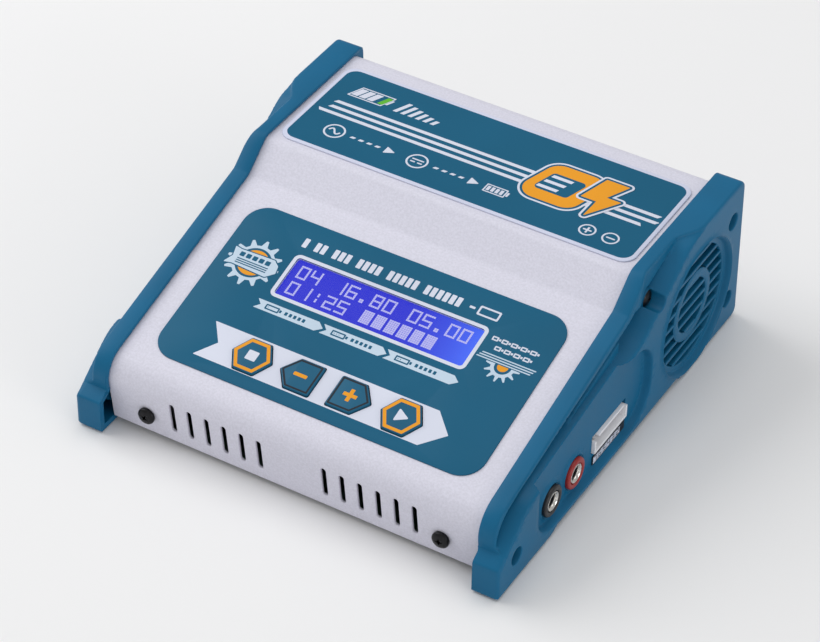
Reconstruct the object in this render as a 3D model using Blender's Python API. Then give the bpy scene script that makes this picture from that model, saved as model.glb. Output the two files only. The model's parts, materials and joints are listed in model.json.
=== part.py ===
"""Balance battery charger: a folded sheet cover and a base between two moulded
side panels, with a display, four keys, a fan, output sockets and a mains inlet.

The frame is in metres with +Z up. X runs to the right, Y runs to the back, and
the origin is on the floor in the middle of the footprint. Sizes below are in
millimetres; MM turns them into metres where a mesh is made.
"""
import math

import bmesh
import bpy
from mathutils import Matrix, Vector

MM = 0.001

# ---------------------------------------------------------------- driving sizes
WIDTH = 141.7           # over both side panels
DEPTH = 148.8           # over the feet
GAP = 0.3               # clearance between pieces that touch
SHEET = 0.9             # thickness of the folded sheet
WALL = 2.0              # wall of the side mouldings

FRONT = -DEPTH / 2 + 4.96   # front wall of the sheet, at slot height
WALL_LEAN = 0.127           # the front wall leans out by this much per mm of height
DECK_TILT = math.radians(15.33)
UPPER_Z = 51.3              # level of the upper deck

HALF = WIDTH / 2            # outer face of the plate of a side panel
RAIL_IN = 61.8              # inner edge of the rail on top of the sheet
RAIL_OUT = 67.4             # outer face of the rail
GROOVE_X = 65.2             # floor of the groove between rail and plate
PANEL_IN = 62.6             # inner face of a side panel
SHEET_HALF = PANEL_IN - GAP
RAIL_RISE = 1.5             # the rail stands this far above the sheet
SCOOP_DEPTH = 2.5           # depth of the pocket that holds the sockets

SLOT_PITCH = 5.93
SLOT_FIRST = 10.9
SLOTS_PER_GROUP = 6
SLOT_Z = (5.7, 16.8)
SLOT_WIDTH = 1.75

LABEL_HALF = 54.2           # overlay with the keys and the display
LABEL_LENGTH = 60.4
LABEL_RADIUS = 7.5
FILM = 0.35                 # thickness of an overlay film
WINDOW = (-31.5, 31.75, 33.1, 47.4)
KEY_ROW = 10.5              # centre line of the keys, along the deck from the overlay's edge
KEY_RADIUS = 6.6            # corner radius of a hexagonal key, centre to corner
KEY_TRAVEL = 0.5
KEY_PROUD = 0.75            # height of a key above the overlay
KEY_FLANGE = 0.6            # thickness of the flange that keeps a key under the sheet
KEY_STEM = 1.3              # length of the stem below the flange

FAN_Y, FAN_Z = 43.95, 22.8  # axis of the fan
FAN_SIZE = 40.0
FAN_DEPTH = 10.0
FAN_X = 62.2                # outer face of the fan frame
GRILLE_RADIUS = 19.5
GRILLE_RING = 21.85
SLAT_PITCH = 4.2
SLAT = 1.3
HUB_RING = (8.9, 11.85)      # inner and outer radius of the ring in the middle of the slats

SOCKET_Z = 10.9
SOCKET_Y = (-41.2, -27.6)   # black and red output sockets
PORT_Y = -6.1               # middle of the balance port
PORT_SIZE = (19.9, 6.1)
PORT_Z = 12.1

INLET_Y, INLET_Z = 38.0, 22.0   # middle of the mains inlet
INLET_SIZE = (27.0, 20.0)
JACK_Y = -36.0              # direct-current jack
SENSOR_Y = -8.0             # temperature probe port
SENSOR_HALF = (5.2, 3.0)

BOARD_Z = 6.0               # underside of the circuit boards
BOARD = 1.6
STAND_OFF = 0.2             # clearance under a part that stands on a board
TRAY_Z = 1.6                # underside of the base plate

SCREW_X, SCREW_Z = 49.4, 8.8    # screws in the front and back walls
HEAD_RISE = 1.7                 # height of a screw's head
RAIL_SCREW = (88.0, 41.5)       # distance behind the front wall, and height
PANEL_SCREWS = {"toe": (5.2, 9.2), "heel": (136.0, 10.2), "top": (134.7, 40.6)}
WELL_DEPTH = 5.0                # depth of the counterbore in a side panel


# ---------------------------------------------------------------- scene set-up
for old in list(bpy.data.objects):
    bpy.data.objects.remove(old, do_unlink=True)

PARTS = bpy.data.collections.new("balance_charger")
CUTTERS = bpy.data.collections.new("cutters")
bpy.context.scene.collection.children.link(PARTS)
bpy.context.scene.collection.children.link(CUTTERS)

COLOURS = {
    "sheet_paint": ((0.62, 0.62, 0.70), 0.55, 0.1),
    "blue_plastic": ((0.016, 0.115, 0.21), 0.45, 0.0),
    "blue_film": ((0.015, 0.12, 0.22), 0.4, 0.0),
    "clear_plastic": ((0.75, 0.8, 0.9), 0.08, 0.0),
    "display": ((0.03, 0.04, 0.65), 0.2, 0.0),
    "steel": ((0.55, 0.55, 0.56), 0.35, 1.0),
    "black_screw": ((0.015, 0.015, 0.015), 0.4, 0.8),
    "brass": ((0.75, 0.7, 0.55), 0.25, 1.0),
    "aluminium": ((0.75, 0.76, 0.78), 0.35, 1.0),
    "circuit_board": ((0.02, 0.16, 0.06), 0.5, 0.0),
    "black_plastic": ((0.012, 0.012, 0.014), 0.45, 0.0),
    "red_plastic": ((0.33, 0.015, 0.012), 0.4, 0.0),
    "white_plastic": ((0.78, 0.77, 0.74), 0.45, 0.0),
    "copper": ((0.72, 0.32, 0.12), 0.35, 1.0),
    "ferrite": ((0.03, 0.03, 0.032), 0.7, 0.0),
}


def material(name):
    """One Principled material for each finish, made when it is first used."""
    found = bpy.data.materials.get(name)
    if found:
        return found
    colour, roughness, metallic = COLOURS[name]
    made = bpy.data.materials.new(name)
    made.use_nodes = True
    shader = made.node_tree.nodes["Principled BSDF"]
    shader.inputs["Base Color"].default_value = (*colour, 1.0)
    shader.inputs["Roughness"].default_value = roughness
    shader.inputs["Metallic"].default_value = metallic
    made.diffuse_color = (*colour, 1.0)
    return made


# ---------------------------------------------------------------- outlines
def rounded(corners, closed=True, steps=4):
    """Replace each corner (u, v, radius) of an outline by an arc of that radius."""
    out = []
    count = len(corners)
    for i, (u, v, radius) in enumerate(corners):
        here = Vector((u, v))
        if radius <= 0 or (not closed and i in (0, count - 1)):
            out.append(here)
            continue
        before = (Vector(corners[i - 1][:2]) - here).normalized()
        after = (Vector(corners[(i + 1) % count][:2]) - here).normalized()
        half = before.angle(after) / 2
        reach = radius / math.tan(half)
        centre = here + (before + after).normalized() * (radius / math.sin(half))
        start = here + before * reach - centre
        turn = start.angle_signed(here + after * reach - centre)
        for k in range(steps + 1):
            part = turn * k / steps
            spin = Matrix.Rotation(-part, 2)
            out.append(centre + spin @ start)
    return out


def shifted(corners, distance):
    """An open outline moved sideways, to its left when the distance is positive."""
    lines = []
    for (u0, v0, _), (u1, v1, _) in zip(corners, corners[1:]):
        along = Vector((u1 - u0, v1 - v0)).normalized()
        normal = Vector((-along.y, along.x))
        lines.append((Vector((u0, v0)) + normal * distance, along, normal))
    out = [(*lines[0][0], 0.0)]
    for i in range(1, len(corners) - 1):
        start, along, _ = lines[i - 1]
        other, _, normal = lines[i]
        step = (other - start).dot(normal) / along.dot(normal)
        corner = start + along * step
        left_turn = along.cross(lines[i][1]) > 0
        radius = corners[i][2] - distance if left_turn else corners[i][2] + distance
        out.append((*corner, max(radius, 0.3)))
    end = Vector(corners[-1][:2]) + lines[-1][2] * distance
    out.append((*end, 0.0))
    return out


def box_outline(u0, u1, v0, v1, radius=0.0):
    return [(u0, v0, radius), (u1, v0, radius), (u1, v1, radius), (u0, v1, radius)]


# ---------------------------------------------------------------- solids
def add_object(name, mesh, finish, cutter=False):
    made = bpy.data.objects.new(name, mesh)
    if cutter:
        CUTTERS.objects.link(made)
        made.hide_render = True
        made.display_type = "WIRE"
    else:
        PARTS.objects.link(made)
        mesh.materials.append(material(finish))
    return made


def mesh_from(bm, name):
    bmesh.ops.recalc_face_normals(bm, faces=bm.faces)
    mesh = bpy.data.meshes.new(name)
    bm.to_mesh(mesh)
    bm.free()
    mesh.shade_smooth()
    mesh.set_sharp_from_angle(angle=math.radians(35))
    return mesh


AXES = {
    "X": lambda u, v, w: Vector((w, u, v)),
    "Y": lambda u, v, w: Vector((u, w, v)),
    "Z": lambda u, v, w: Vector((u, v, w)),
}


def prism_mesh(bm, outline, low, high, axis, bevel=0.0, ends=(False, True), segments=2):
    """Extrude a flat outline along an axis, with an optional bevel on its end edges."""
    place = AXES[axis]
    points = [Vector(p[:2]) for p in outline]
    bottom = [bm.verts.new(place(p.x, p.y, low) * MM) for p in points]
    face = bm.faces.new(bottom)
    push = bmesh.ops.extrude_face_region(bm, geom=[face])
    top = [g for g in push["geom"] if isinstance(g, bmesh.types.BMVert)]
    bmesh.ops.translate(bm, verts=top, vec=place(0, 0, high - low) * MM)
    if bevel:
        chosen = set()
        if ends[0]:
            chosen.update(face.edges)
        if ends[1]:
            last = [g for g in push["geom"] if isinstance(g, bmesh.types.BMFace)][0]
            chosen.update(last.edges)
        bmesh.ops.bevel(bm, geom=list(chosen), offset=bevel * MM, segments=segments,
                        profile=0.5, affect="EDGES", clamp_overlap=True)
    return bm


def prism(name, outline, low, high, axis="Z", finish=None, **options):
    bm = prism_mesh(bmesh.new(), outline, low, high, axis, **options)
    return add_object(name, mesh_from(bm, name), finish, cutter=finish is None)


def cylinder(name, centre, radius, length, axis="Z", finish=None, count=20, tip=None):
    """A round bar centred on a point, or a cone frustum when a tip radius is given."""
    bm = bmesh.new()
    bmesh.ops.create_cone(bm, cap_ends=True, segments=count, radius1=radius * MM,
                          radius2=(radius if tip is None else tip) * MM, depth=length * MM)
    turn = {"X": Matrix.Rotation(math.pi / 2, 3, "Y"), "Y": Matrix.Rotation(-math.pi / 2, 3, "X"),
            "Z": Matrix.Identity(3)}[axis]
    bmesh.ops.rotate(bm, verts=bm.verts, matrix=turn)
    bmesh.ops.translate(bm, verts=bm.verts, vec=Vector(centre) * MM)
    return add_object(name, mesh_from(bm, name), finish, cutter=finish is None)


def box(name, low, high, finish=None):
    bm = bmesh.new()
    bmesh.ops.create_cube(bm, size=1.0)
    size = [high[i] - low[i] for i in range(3)]
    middle = [(high[i] + low[i]) / 2 for i in range(3)]
    bmesh.ops.scale(bm, verts=bm.verts, vec=Vector(size) * MM)
    bmesh.ops.translate(bm, verts=bm.verts, vec=Vector(middle) * MM)
    return add_object(name, mesh_from(bm, name), finish, cutter=finish is None)


def combine(target, tool, operation="DIFFERENCE"):
    """Apply a Boolean at once, then drop the tool when it was only a cutter."""
    step = target.modifiers.new(operation.lower(), "BOOLEAN")
    step.operation = operation
    step.solver = "EXACT"
    step.object = tool
    view = bpy.context.evaluated_depsgraph_get()
    view.update()
    mesh = bpy.data.meshes.new_from_object(target.evaluated_get(view), depsgraph=view)
    mesh.name = target.name
    target.modifiers.clear()
    target.data = mesh
    mesh.shade_smooth()
    mesh.set_sharp_from_angle(angle=math.radians(35))
    bpy.data.objects.remove(tool, do_unlink=True)
    return target


def cut(target, *tools):
    for tool in tools:
        combine(target, tool)
    return target


def join(target, *tools):
    for tool in tools:
        combine(target, tool, "UNION")
    return target


def move_origin(target, point):
    """Put an object's origin at a point without moving its surface."""
    place = Vector(point) * MM
    target.data.transform(Matrix.Translation(-place))
    target.location = place
    return target


# ---------------------------------------------------------------- sheet profile
def wall_y(z):
    """Y of the outer face of the leaning front wall at a height."""
    return FRONT + (SLOT_Z[1] - z) * WALL_LEAN


DECK_START = (FRONT + 9.08, 25.25)      # the overlay's front edge on the lower deck
BACK_Y = FRONT + 139.8                  # back wall of the sheet


def deck_point(u, n=0.0):
    """Y and Z of a point on the lower deck, u back from the overlay's edge, n above it."""
    return (DECK_START[0] + u * math.cos(DECK_TILT) - n * math.sin(DECK_TILT),
            DECK_START[1] + u * math.sin(DECK_TILT) + n * math.cos(DECK_TILT))


def sheet_corners(foot=1.9, back_foot=1.9):
    """Outer profile of the cover from the front hem to the back hem, with bend radii."""
    slope = math.tan(DECK_TILT)
    bend_z = 22.6
    step_low = FRONT + 75.0
    step_high = FRONT + 84.8
    return [
        (wall_y(foot), foot, 0.0),
        (wall_y(bend_z), bend_z, 8.0),
        (step_low, DECK_START[1] + (step_low - DECK_START[0]) * slope, 4.0),
        (step_high, UPPER_Z, 4.0),
        (BACK_Y, UPPER_Z, 6.0),
        (BACK_Y, back_foot, 0.0),
    ]


def band(outer, inner, steps=4):
    """A closed outline between two offsets of the cover's profile."""
    first = rounded(shifted(sheet_corners(), outer), closed=False, steps=steps)
    second = rounded(shifted(sheet_corners(), inner), closed=False, steps=steps)
    return first + second[::-1]


def deck_frame(target, u=0.0, n=0.0, x=0.0):
    """Place an object that was drawn flat, with u along Y and n along Z, on the lower deck."""
    y, z = deck_point(u, n)
    target.location = Vector((x, y, z)) * MM
    target.rotation_euler = (DECK_TILT, 0.0, 0.0)
    return target


def deck_cutter(outline, low, high, name="deck_cutter"):
    """A cutter that goes straight through the lower deck."""
    tool = prism(name, outline, low, high)
    deck_frame(tool)
    bpy.context.view_layer.update()
    tool.data.transform(tool.matrix_world)
    tool.matrix_world = Matrix.Identity(4)
    return tool


# ---------------------------------------------------------------- keys
def hexagon(x, radius):
    return [(x + radius * math.cos(math.pi / 3 * k), KEY_ROW + radius * math.sin(math.pi / 3 * k), 0.7)
            for k in range(6)]


def arrow(x, direction, grow=0.0):
    """A five-sided key, with its point to the left or to the right."""
    flat, corner, tip, half = 2.9, 11.0, 15.0, 5.4
    grown = [(flat - grow, -half - grow), (corner + grow * 0.5, -half - grow), (tip + grow * 1.3, 0.0),
             (corner + grow * 0.5, half + grow), (flat - grow, half + grow)]
    points = [(x + direction * u, KEY_ROW + v, 0.7) for u, v in grown]
    return points if direction > 0 else points[::-1]


KEYS = {
    "key_stop": lambda grow: hexagon(-24.7, KEY_RADIUS + grow * 1.15),
    "key_down": lambda grow: arrow(0.0, -1, grow),
    "key_up": lambda grow: arrow(0.0, 1, grow),
    "key_start": lambda grow: hexagon(25.2, KEY_RADIUS + grow * 1.15),
}
KEY_X = {"key_stop": -24.7, "key_down": -8.3, "key_up": 8.3, "key_start": 25.2}


def make_keys():
    """Caps with a flange that stays under the sheet and a stem above its switch."""
    flange_top = -SHEET - GAP
    stem_top = flange_top - KEY_FLANGE
    for name, outline in KEYS.items():
        top = FILM + 0.1 + KEY_PROUD
        cap = prism(name, rounded(outline(0.0), steps=2), flange_top - 0.2, top,
                    finish="blue_film", bevel=0.3)
        skirt = prism("skirt", rounded(outline(0.9), steps=2), stem_top, flange_top)
        stem = cylinder("stem", (KEY_X[name], KEY_ROW, stem_top + 0.3 - KEY_STEM / 2 - 0.15), 1.7,
                        KEY_STEM + 0.3, count=12)
        join(cap, skirt, stem)
        centre = Vector((KEY_X[name], KEY_ROW, 0.0)) * MM
        cap.data.transform(Matrix.Translation(-centre))
        deck_frame(cap, u=KEY_ROW, x=KEY_X[name])


def make_key_board():
    """The board under the keys, with one push switch for each key."""
    switch_top = -SHEET - GAP - KEY_FLANGE - KEY_STEM - KEY_TRAVEL - 0.05
    board_top = switch_top - 3.6
    for number, x in enumerate(KEY_X.values(), start=1):
        name = f"key_switch_{number}"
        body = box(name, (x - 3.0, KEY_ROW - 3.0, board_top + 0.1),
                   (x + 3.0, KEY_ROW + 3.0, switch_top - 0.7), "black_plastic")
        join(body, cylinder("button", (x, KEY_ROW, switch_top - 0.6), 1.6, 1.2, count=12))
        deck_frame(body)
    board = prism("key_board", box_outline(-35.0, 35.0, 2.0, 20.0), board_top - 1.2, board_top,
                  finish="circuit_board")
    deck_frame(board)


# ---------------------------------------------------------------- cover and labels
def make_cover():
    """Front wall, lower deck, step, upper deck and back wall, folded from one sheet."""
    cover = prism("top_cover", band(0.0, -SHEET), -SHEET_HALF, SHEET_HALF, axis="X", finish="sheet_paint")
    for side in (-1, 1):
        for k in range(SLOTS_PER_GROUP):
            x = side * (SLOT_FIRST + k * SLOT_PITCH)
            slot = box_outline(x - SLOT_WIDTH / 2, x + SLOT_WIDTH / 2, *SLOT_Z, SLOT_WIDTH * 0.38)
            cut(cover, prism("slot", rounded(slot, steps=2), FRONT - 4, FRONT + 4, axis="Y"))
            slot = box_outline(x - SLOT_WIDTH / 2, x + SLOT_WIDTH / 2, 22.0, 36.0, SLOT_WIDTH * 0.38)
            cut(cover, prism("slot", rounded(slot, steps=2), BACK_Y - 4, BACK_Y + 4, axis="Y"))
        for y in (FRONT, BACK_Y):
            cut(cover, cylinder("hole", (side * SCREW_X, y, SCREW_Z), 1.6, 10.0, axis="Y", count=12))
    x0, x1, u0, u1 = WINDOW
    cut(cover, deck_cutter(rounded(box_outline(x0, x1, u0, u1, 1.0), steps=2), -3.0, 3.0))
    for outline in KEYS.values():
        cut(cover, deck_cutter(rounded(outline(GAP), steps=2), -3.0, 3.0))
    return cover


def make_labels():
    """Printed films on the two decks, and the clear window over the display."""
    film = rounded(box_outline(-LABEL_HALF, LABEL_HALF, 0.0, LABEL_LENGTH, LABEL_RADIUS), steps=6)
    overlay = prism("keypad_overlay", film, 0.1, 0.1 + FILM, finish="blue_film")
    x0, x1, u0, u1 = WINDOW
    cut(overlay, prism("hole", rounded(box_outline(x0, x1, u0, u1, 1.0), steps=2), -1.0, 1.0))
    for outline in KEYS.values():
        cut(overlay, prism("hole", rounded(outline(GAP), steps=2), -1.0, 1.0))
    deck_frame(overlay)
    pane = box_outline(x0 + GAP, x1 - GAP, u0 + GAP, u1 - GAP, 0.8)
    deck_frame(prism("display_window", rounded(pane, steps=2), -SHEET + 0.1, FILM, finish="clear_plastic"))
    front, back = FRONT + 87.4, FRONT + 130.0
    top = box_outline(-60.0, 60.0, front, back, 4.5)
    prism("top_label", rounded(top), UPPER_Z + 0.1, UPPER_Z + 0.1 + FILM, finish="blue_film")


def make_display():
    """The display module: glass in a bent metal frame on its own board."""
    x0, x1, u0, u1 = WINDOW
    middle_x, middle_u = (x0 + x1) / 2, (u0 + u1) / 2
    top = -SHEET - GAP
    frame_half = (35.6, 12.0)
    frame = prism("display_frame", box_outline(middle_x - frame_half[0], middle_x + frame_half[0],
                                               middle_u - frame_half[1], middle_u + frame_half[1]),
                  top - 7.0, top, finish="steel")
    cut(frame, prism("opening", box_outline(x0 - 0.4, x1 + 0.4, u0 - 0.4, u1 + 0.4), top - 8.0, top + 1.0),
        prism("inside", box_outline(middle_x - 34.8, middle_x + 34.8, middle_u - 11.2, middle_u + 11.2),
              top - 8.0, top - 0.7))
    deck_frame(frame)
    glass = prism("display_glass", box_outline(middle_x - 34.4, middle_x + 34.4, middle_u - 10.8,
                                               middle_u + 10.8), top - 5.2, top - 1.0, finish="display")
    deck_frame(glass)
    board = prism("display_board", box_outline(middle_x - 40.0, middle_x + 40.0, middle_u - 17.5,
                                               middle_u + 17.5), top - 8.9, top - 7.3, finish="circuit_board")
    deck_frame(board)


# ---------------------------------------------------------------- side panels
def panel_outline():
    """Side view of a panel: foot, rail front, decks, back edge and raised underside."""
    rail = shifted(sheet_corners(), RAIL_RISE)
    rail_front = (wall_y(13.6) - RAIL_RISE, 13.6, 0.0)
    toe = -DEPTH / 2
    return [(toe, 0.0, 0.6), (toe, 11.1, 1.0), rail_front, rail[1], rail[2], rail[3],
            (FRONT + 141.2, UPPER_Z + RAIL_RISE, 3.5), (DEPTH / 2 + 0.13, 0.0, 2.5),
            (FRONT + 105.6, 0.0, 0.0), (FRONT + 103.4, 1.2, 0.0), (FRONT + 29.8, 1.2, 0.0),
            (FRONT + 26.1, 0.0, 0.0)]


def shoulder():
    """Upper edge of the raised plate, from the foot's toe to the top at the back."""
    return [(FRONT + 0.4, 13.6, 5.0), (FRONT + 12.0, 23.3, 12.0), (FRONT + 78.0, 34.0, 16.0),
            (FRONT + 107.0, 51.0, 10.0), (FRONT + 121.0, UPPER_Z + RAIL_RISE, 0.0)]


def plate_outline():
    outline = panel_outline()
    return outline[:2] + shoulder() + outline[6:]


def scoop_outline(grow=0.0):
    """Pocket for the sockets; its upper side runs out over the shoulder."""
    low, front, back, radius = 5.6 - grow, FRONT + 17.0 - grow, FRONT + 85.3 + grow, 12.0 + grow
    return [(front, low, 8.5 + grow), (back, low, radius), (back, 31.0 + grow, radius),
            (FRONT + 66.0, 33.5 + grow, 2.0), (FRONT + 66.0, 40.0, 0.0), (FRONT + 22.0, 40.0, 0.0),
            (front, 27.0, 4.0)]


def inset(corners, distance):
    """A closed outline moved inwards by a distance, with its corner radii kept concentric."""
    count = len(corners)
    area = sum(corners[i - 1][0] * corners[i][1] - corners[i][0] * corners[i - 1][1] for i in range(count))
    inward = 1.0 if area > 0 else -1.0
    out = []
    for i, (u, v, radius) in enumerate(corners):
        here = Vector((u, v))
        into = (here - Vector(corners[i - 1][:2])).normalized()
        away = (Vector(corners[(i + 1) % count][:2]) - here).normalized()
        normal = Vector((-into.y, into.x)) * inward
        other = Vector((-away.y, away.x)) * inward
        corner = here + (normal + other) * distance / (1.0 + normal.dot(other))
        convex = into.cross(away) * inward > 0
        out.append((*corner, max(radius - distance, 0.5) if convex else radius + distance))
    return out


def sided(side, low, high):
    """X limits of a solid of the right panel, mirrored for the left one."""
    return (low, high) if side > 0 else (-high, -low)


def side_prism(side, name, outline, low, high, finish=None, bevel=0.0, segments=2):
    ends = (False, True) if side > 0 else (True, False)
    return prism(name, outline, *sided(side, low, high), axis="X", finish=finish, bevel=bevel,
                 ends=ends, segments=segments)


def make_panel(side, name):
    """A hollow moulding: rail over the sheet's edge, groove, raised plate with two feet."""
    full = rounded(inset(panel_outline(), 0.3), steps=3)
    panel = side_prism(side, name, full, PANEL_IN, GROOVE_X, "blue_plastic")
    rail_side = shifted(sheet_corners(foot=15.2), RAIL_RISE)
    under_side = shifted(sheet_corners(foot=15.2), -6.0)
    rail_side[-2:] = [(FRONT + 124.0, UPPER_Z + RAIL_RISE, 0.0)]
    under_side[-2:] = [(FRONT + 124.0, UPPER_Z - 6.0, 0.0)]
    rail = rounded(rail_side, closed=False) + rounded(under_side, closed=False)[::-1]
    lip_top = shifted(sheet_corners(foot=15.2, back_foot=44.0), RAIL_RISE)
    lip_low = shifted(sheet_corners(foot=15.2, back_foot=44.0), GAP)
    lip_top[-2:] = [(FRONT + 141.2, UPPER_Z + RAIL_RISE, 3.5), (FRONT + 141.8, 44.0, 0.0)]
    lip = rounded(lip_top, closed=False) + rounded(lip_low, closed=False)[::-1]
    join(panel,
         side_prism(side, "rail", rail, PANEL_IN + 0.5, RAIL_OUT, bevel=0.9),
         side_prism(side, "lip", lip, RAIL_IN, PANEL_IN + 1.0),
         side_prism(side, "plate", rounded(plate_outline(), steps=3), PANEL_IN + 0.2, HALF, bevel=1.6,
                    segments=3))
    ledge_top = [deck_point(u, -4.1) for u in (22.0, 63.0)]
    ledge = [*ledge_top, (FRONT + 70.6, 31.3), (FRONT + 50.0, 27.7), (FRONT + 31.0, 23.7)]
    join(panel, side_prism(side, "ledge", ledge, PANEL_IN + 0.6, RAIL_OUT - 0.6))
    hollow = side_prism(side, "hollow", rounded(inset(plate_outline(), WALL), steps=3), PANEL_IN - 2.0,
                        HALF - WALL)
    keep = side_prism(side, "keep", rounded(scoop_outline(WALL), steps=4), HALF - SCOOP_DEPTH - WALL,
                      HALF + 1.0)
    cut(hollow, keep)
    cut(panel, hollow)
    scoop = side_prism(side, "scoop", rounded(scoop_outline(), steps=5), HALF - SCOOP_DEPTH, HALF + 5.0)
    cut(panel, scoop)
    return panel


def screw_wells(side, panel):
    """Counterbored screw holes: foot, two at the back edge, and one in the groove."""
    for back, z in PANEL_SCREWS.values():
        y = FRONT + back
        join(panel, cylinder("well", (side * (HALF - 3.5), y, z), 4.2, 7.0, axis="X", count=16))
        cut(panel, cylinder("bore", (side * (HALF + 4.0 - WELL_DEPTH), y, z), 2.85, 8.0, axis="X", count=16),
            cylinder("pilot", (side * (HALF - WELL_DEPTH), y, z), 1.6, 12.0, axis="X", count=12))
    y, z = FRONT + RAIL_SCREW[0], RAIL_SCREW[1]
    cut(panel, cylinder("bore", (side * RAIL_OUT, y, z), 2.9, 4.8, axis="X", count=16),
        cylinder("pilot", (side * GROOVE_X, y, z), 1.6, 12.0, axis="X", count=12))


def cut_grille(panel):
    """A dished ring, a hub ring and level slats in front of the fan."""
    dish = 1.3
    axis = (FAN_Y, FAN_Z)
    join(panel, cylinder("backing", (HALF - 2.6, *axis), GRILLE_RING + 0.4, 3.0, axis="X", count=40))
    cut(panel, cylinder("dish", (HALF - dish / 2 + 0.2, *axis), GRILLE_RING - 1.7, dish + 0.4, axis="X",
                        count=40, tip=GRILLE_RING + 0.5))
    hub = cylinder("hub", (HALF - 2.2, *axis), HUB_RING[1], 3.4, axis="X", count=28)
    cut(hub, cylinder("eye", (HALF - 2.2, *axis), HUB_RING[0], 8.0, axis="X", count=28))
    join(panel, hub)
    rows = int(GRILLE_RADIUS / SLAT_PITCH) + 1
    for k in range(-rows, rows):
        low = FAN_Z + k * SLAT_PITCH + SLAT / 2
        high = low + SLAT_PITCH - SLAT
        slit = box("slit", (HALF - 8.0, FAN_Y - GRILLE_RADIUS, low),
                   (HALF + 2.0, FAN_Y + GRILLE_RADIUS, high))
        combine(slit, cylinder("mask", (HALF, *axis), GRILLE_RADIUS, 30.0, axis="X", count=40), "INTERSECT")
        ring = cylinder("ring", (HALF, *axis), HUB_RING[1] + 0.2, 30.0, axis="X", count=24)
        cut(ring, cylinder("eye", (HALF, *axis), HUB_RING[0] - 0.2, 40.0, axis="X", count=24))
        cut(slit, ring)
        cut(panel, slit)


def make_right_panel():
    """The right panel adds the fan grille and the openings for the output sockets."""
    panel = make_panel(1, "right_panel")
    screw_wells(1, panel)
    cut_grille(panel)
    floor = HALF - SCOOP_DEPTH
    for y in SOCKET_Y:
        cut(panel, cylinder("socket", (floor, y, SOCKET_Z), 4.3, 10.0, axis="X", count=20))
    length, height = PORT_SIZE
    cut(panel, box("port", (floor - 6, PORT_Y - length / 2 - GAP, PORT_Z - height / 2 - GAP),
                   (floor + 4, PORT_Y + length / 2 + GAP, PORT_Z + height / 2 + GAP)))
    return panel


def make_left_panel():
    """The left panel holds the mains inlet, the direct-current jack and the sensor port."""
    panel = make_panel(-1, "left_panel")
    screw_wells(-1, panel)
    width, height = INLET_SIZE
    cut(panel, box("inlet", (-HALF - 5, INLET_Y - width / 2 - GAP, INLET_Z - height / 2 - GAP),
                   (-HALF + 8, INLET_Y + width / 2 + GAP, INLET_Z + height / 2 + GAP)),
        cylinder("jack", (-HALF, JACK_Y, PORT_Z), 5.3, 20.0, axis="X", count=20),
        box("sensor", (-HALF - 5, SENSOR_Y - SENSOR_HALF[0] - GAP, PORT_Z - SENSOR_HALF[1] - GAP),
            (-HALF + 8, SENSOR_Y + SENSOR_HALF[0] + GAP, PORT_Z + SENSOR_HALF[1] + GAP)))
    return panel


# ---------------------------------------------------------------- base
def make_base():
    """Steel tray with hems behind the front and back walls and posts under the boards."""
    low, high = TRAY_Z, TRAY_Z + SHEET
    front, back = wall_y(5.0) + SHEET + 0.8, BACK_Y - SHEET - GAP
    base = box("base_plate", (-RAIL_IN, front, low), (RAIL_IN, back, high), "steel")
    join(base,
         box("hem", (-RAIL_IN + 1.5, front, low), (RAIL_IN - 1.5, front + SHEET, 14.0)),
         box("hem", (-RAIL_IN + 1.5, back - SHEET, low), (RAIL_IN - 1.5, back, 14.0)))
    cut(base, box("air", (-42.0, front - 3, 4.2), (-9.0, front + 3, 20.0)),
        box("air", (9.0, front - 3, 4.2), (42.0, front + 3, 20.0)))
    for side in (-1, 1):
        for y in (front, back):
            cut(base, cylinder("hole", (side * SCREW_X, y, SCREW_Z), 1.3, 8.0, axis="Y", count=12))
    for x, y in POSTS:
        join(base, cylinder("post", (x, y, (low + BOARD_Z - 0.1) / 2 + 0.2), 2.6,
                            BOARD_Z - 0.5 - low, count=6))
    return base


# Boards: the mains supply on the left, the charger on the right.
SUPPLY = (-56.0, -6.0, -58.0, 60.0)
CHARGER = (-2.0, 50.0, -58.0, 60.0)
POSTS = [(x, y) for x0, x1, y0, y1 in (SUPPLY, CHARGER) for x in (x0 + 5, x1 - 5) for y in (y0 + 5, y1 - 5)]


def make_boards():
    for name, (x0, x1, y0, y1) in (("supply_board", SUPPLY), ("charger_board", CHARGER)):
        board = box(name, (x0, y0, BOARD_Z), (x1, y1, BOARD_Z + BOARD), "circuit_board")
        for x in (x0 + 5, x1 - 5):
            for y in (y0 + 5, y1 - 5):
                cut(board, cylinder("hole", (x, y, BOARD_Z), 1.6, 8.0, count=10))


def make_heatsink(name, x, y, length):
    """An extruded comb that stands on a board, with its fins to the left."""
    low = BOARD_Z + BOARD + STAND_OFF
    sink = box(name, (x, y, low), (x + 3.0, y + length, low + 22.0), "aluminium")
    for k in range(4):
        z = low + 1.0 + k * 6.0
        join(sink, box("fin", (x - 8.0, y, z), (x + 1.0, y + length, z + 1.4)))
    return sink


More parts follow.
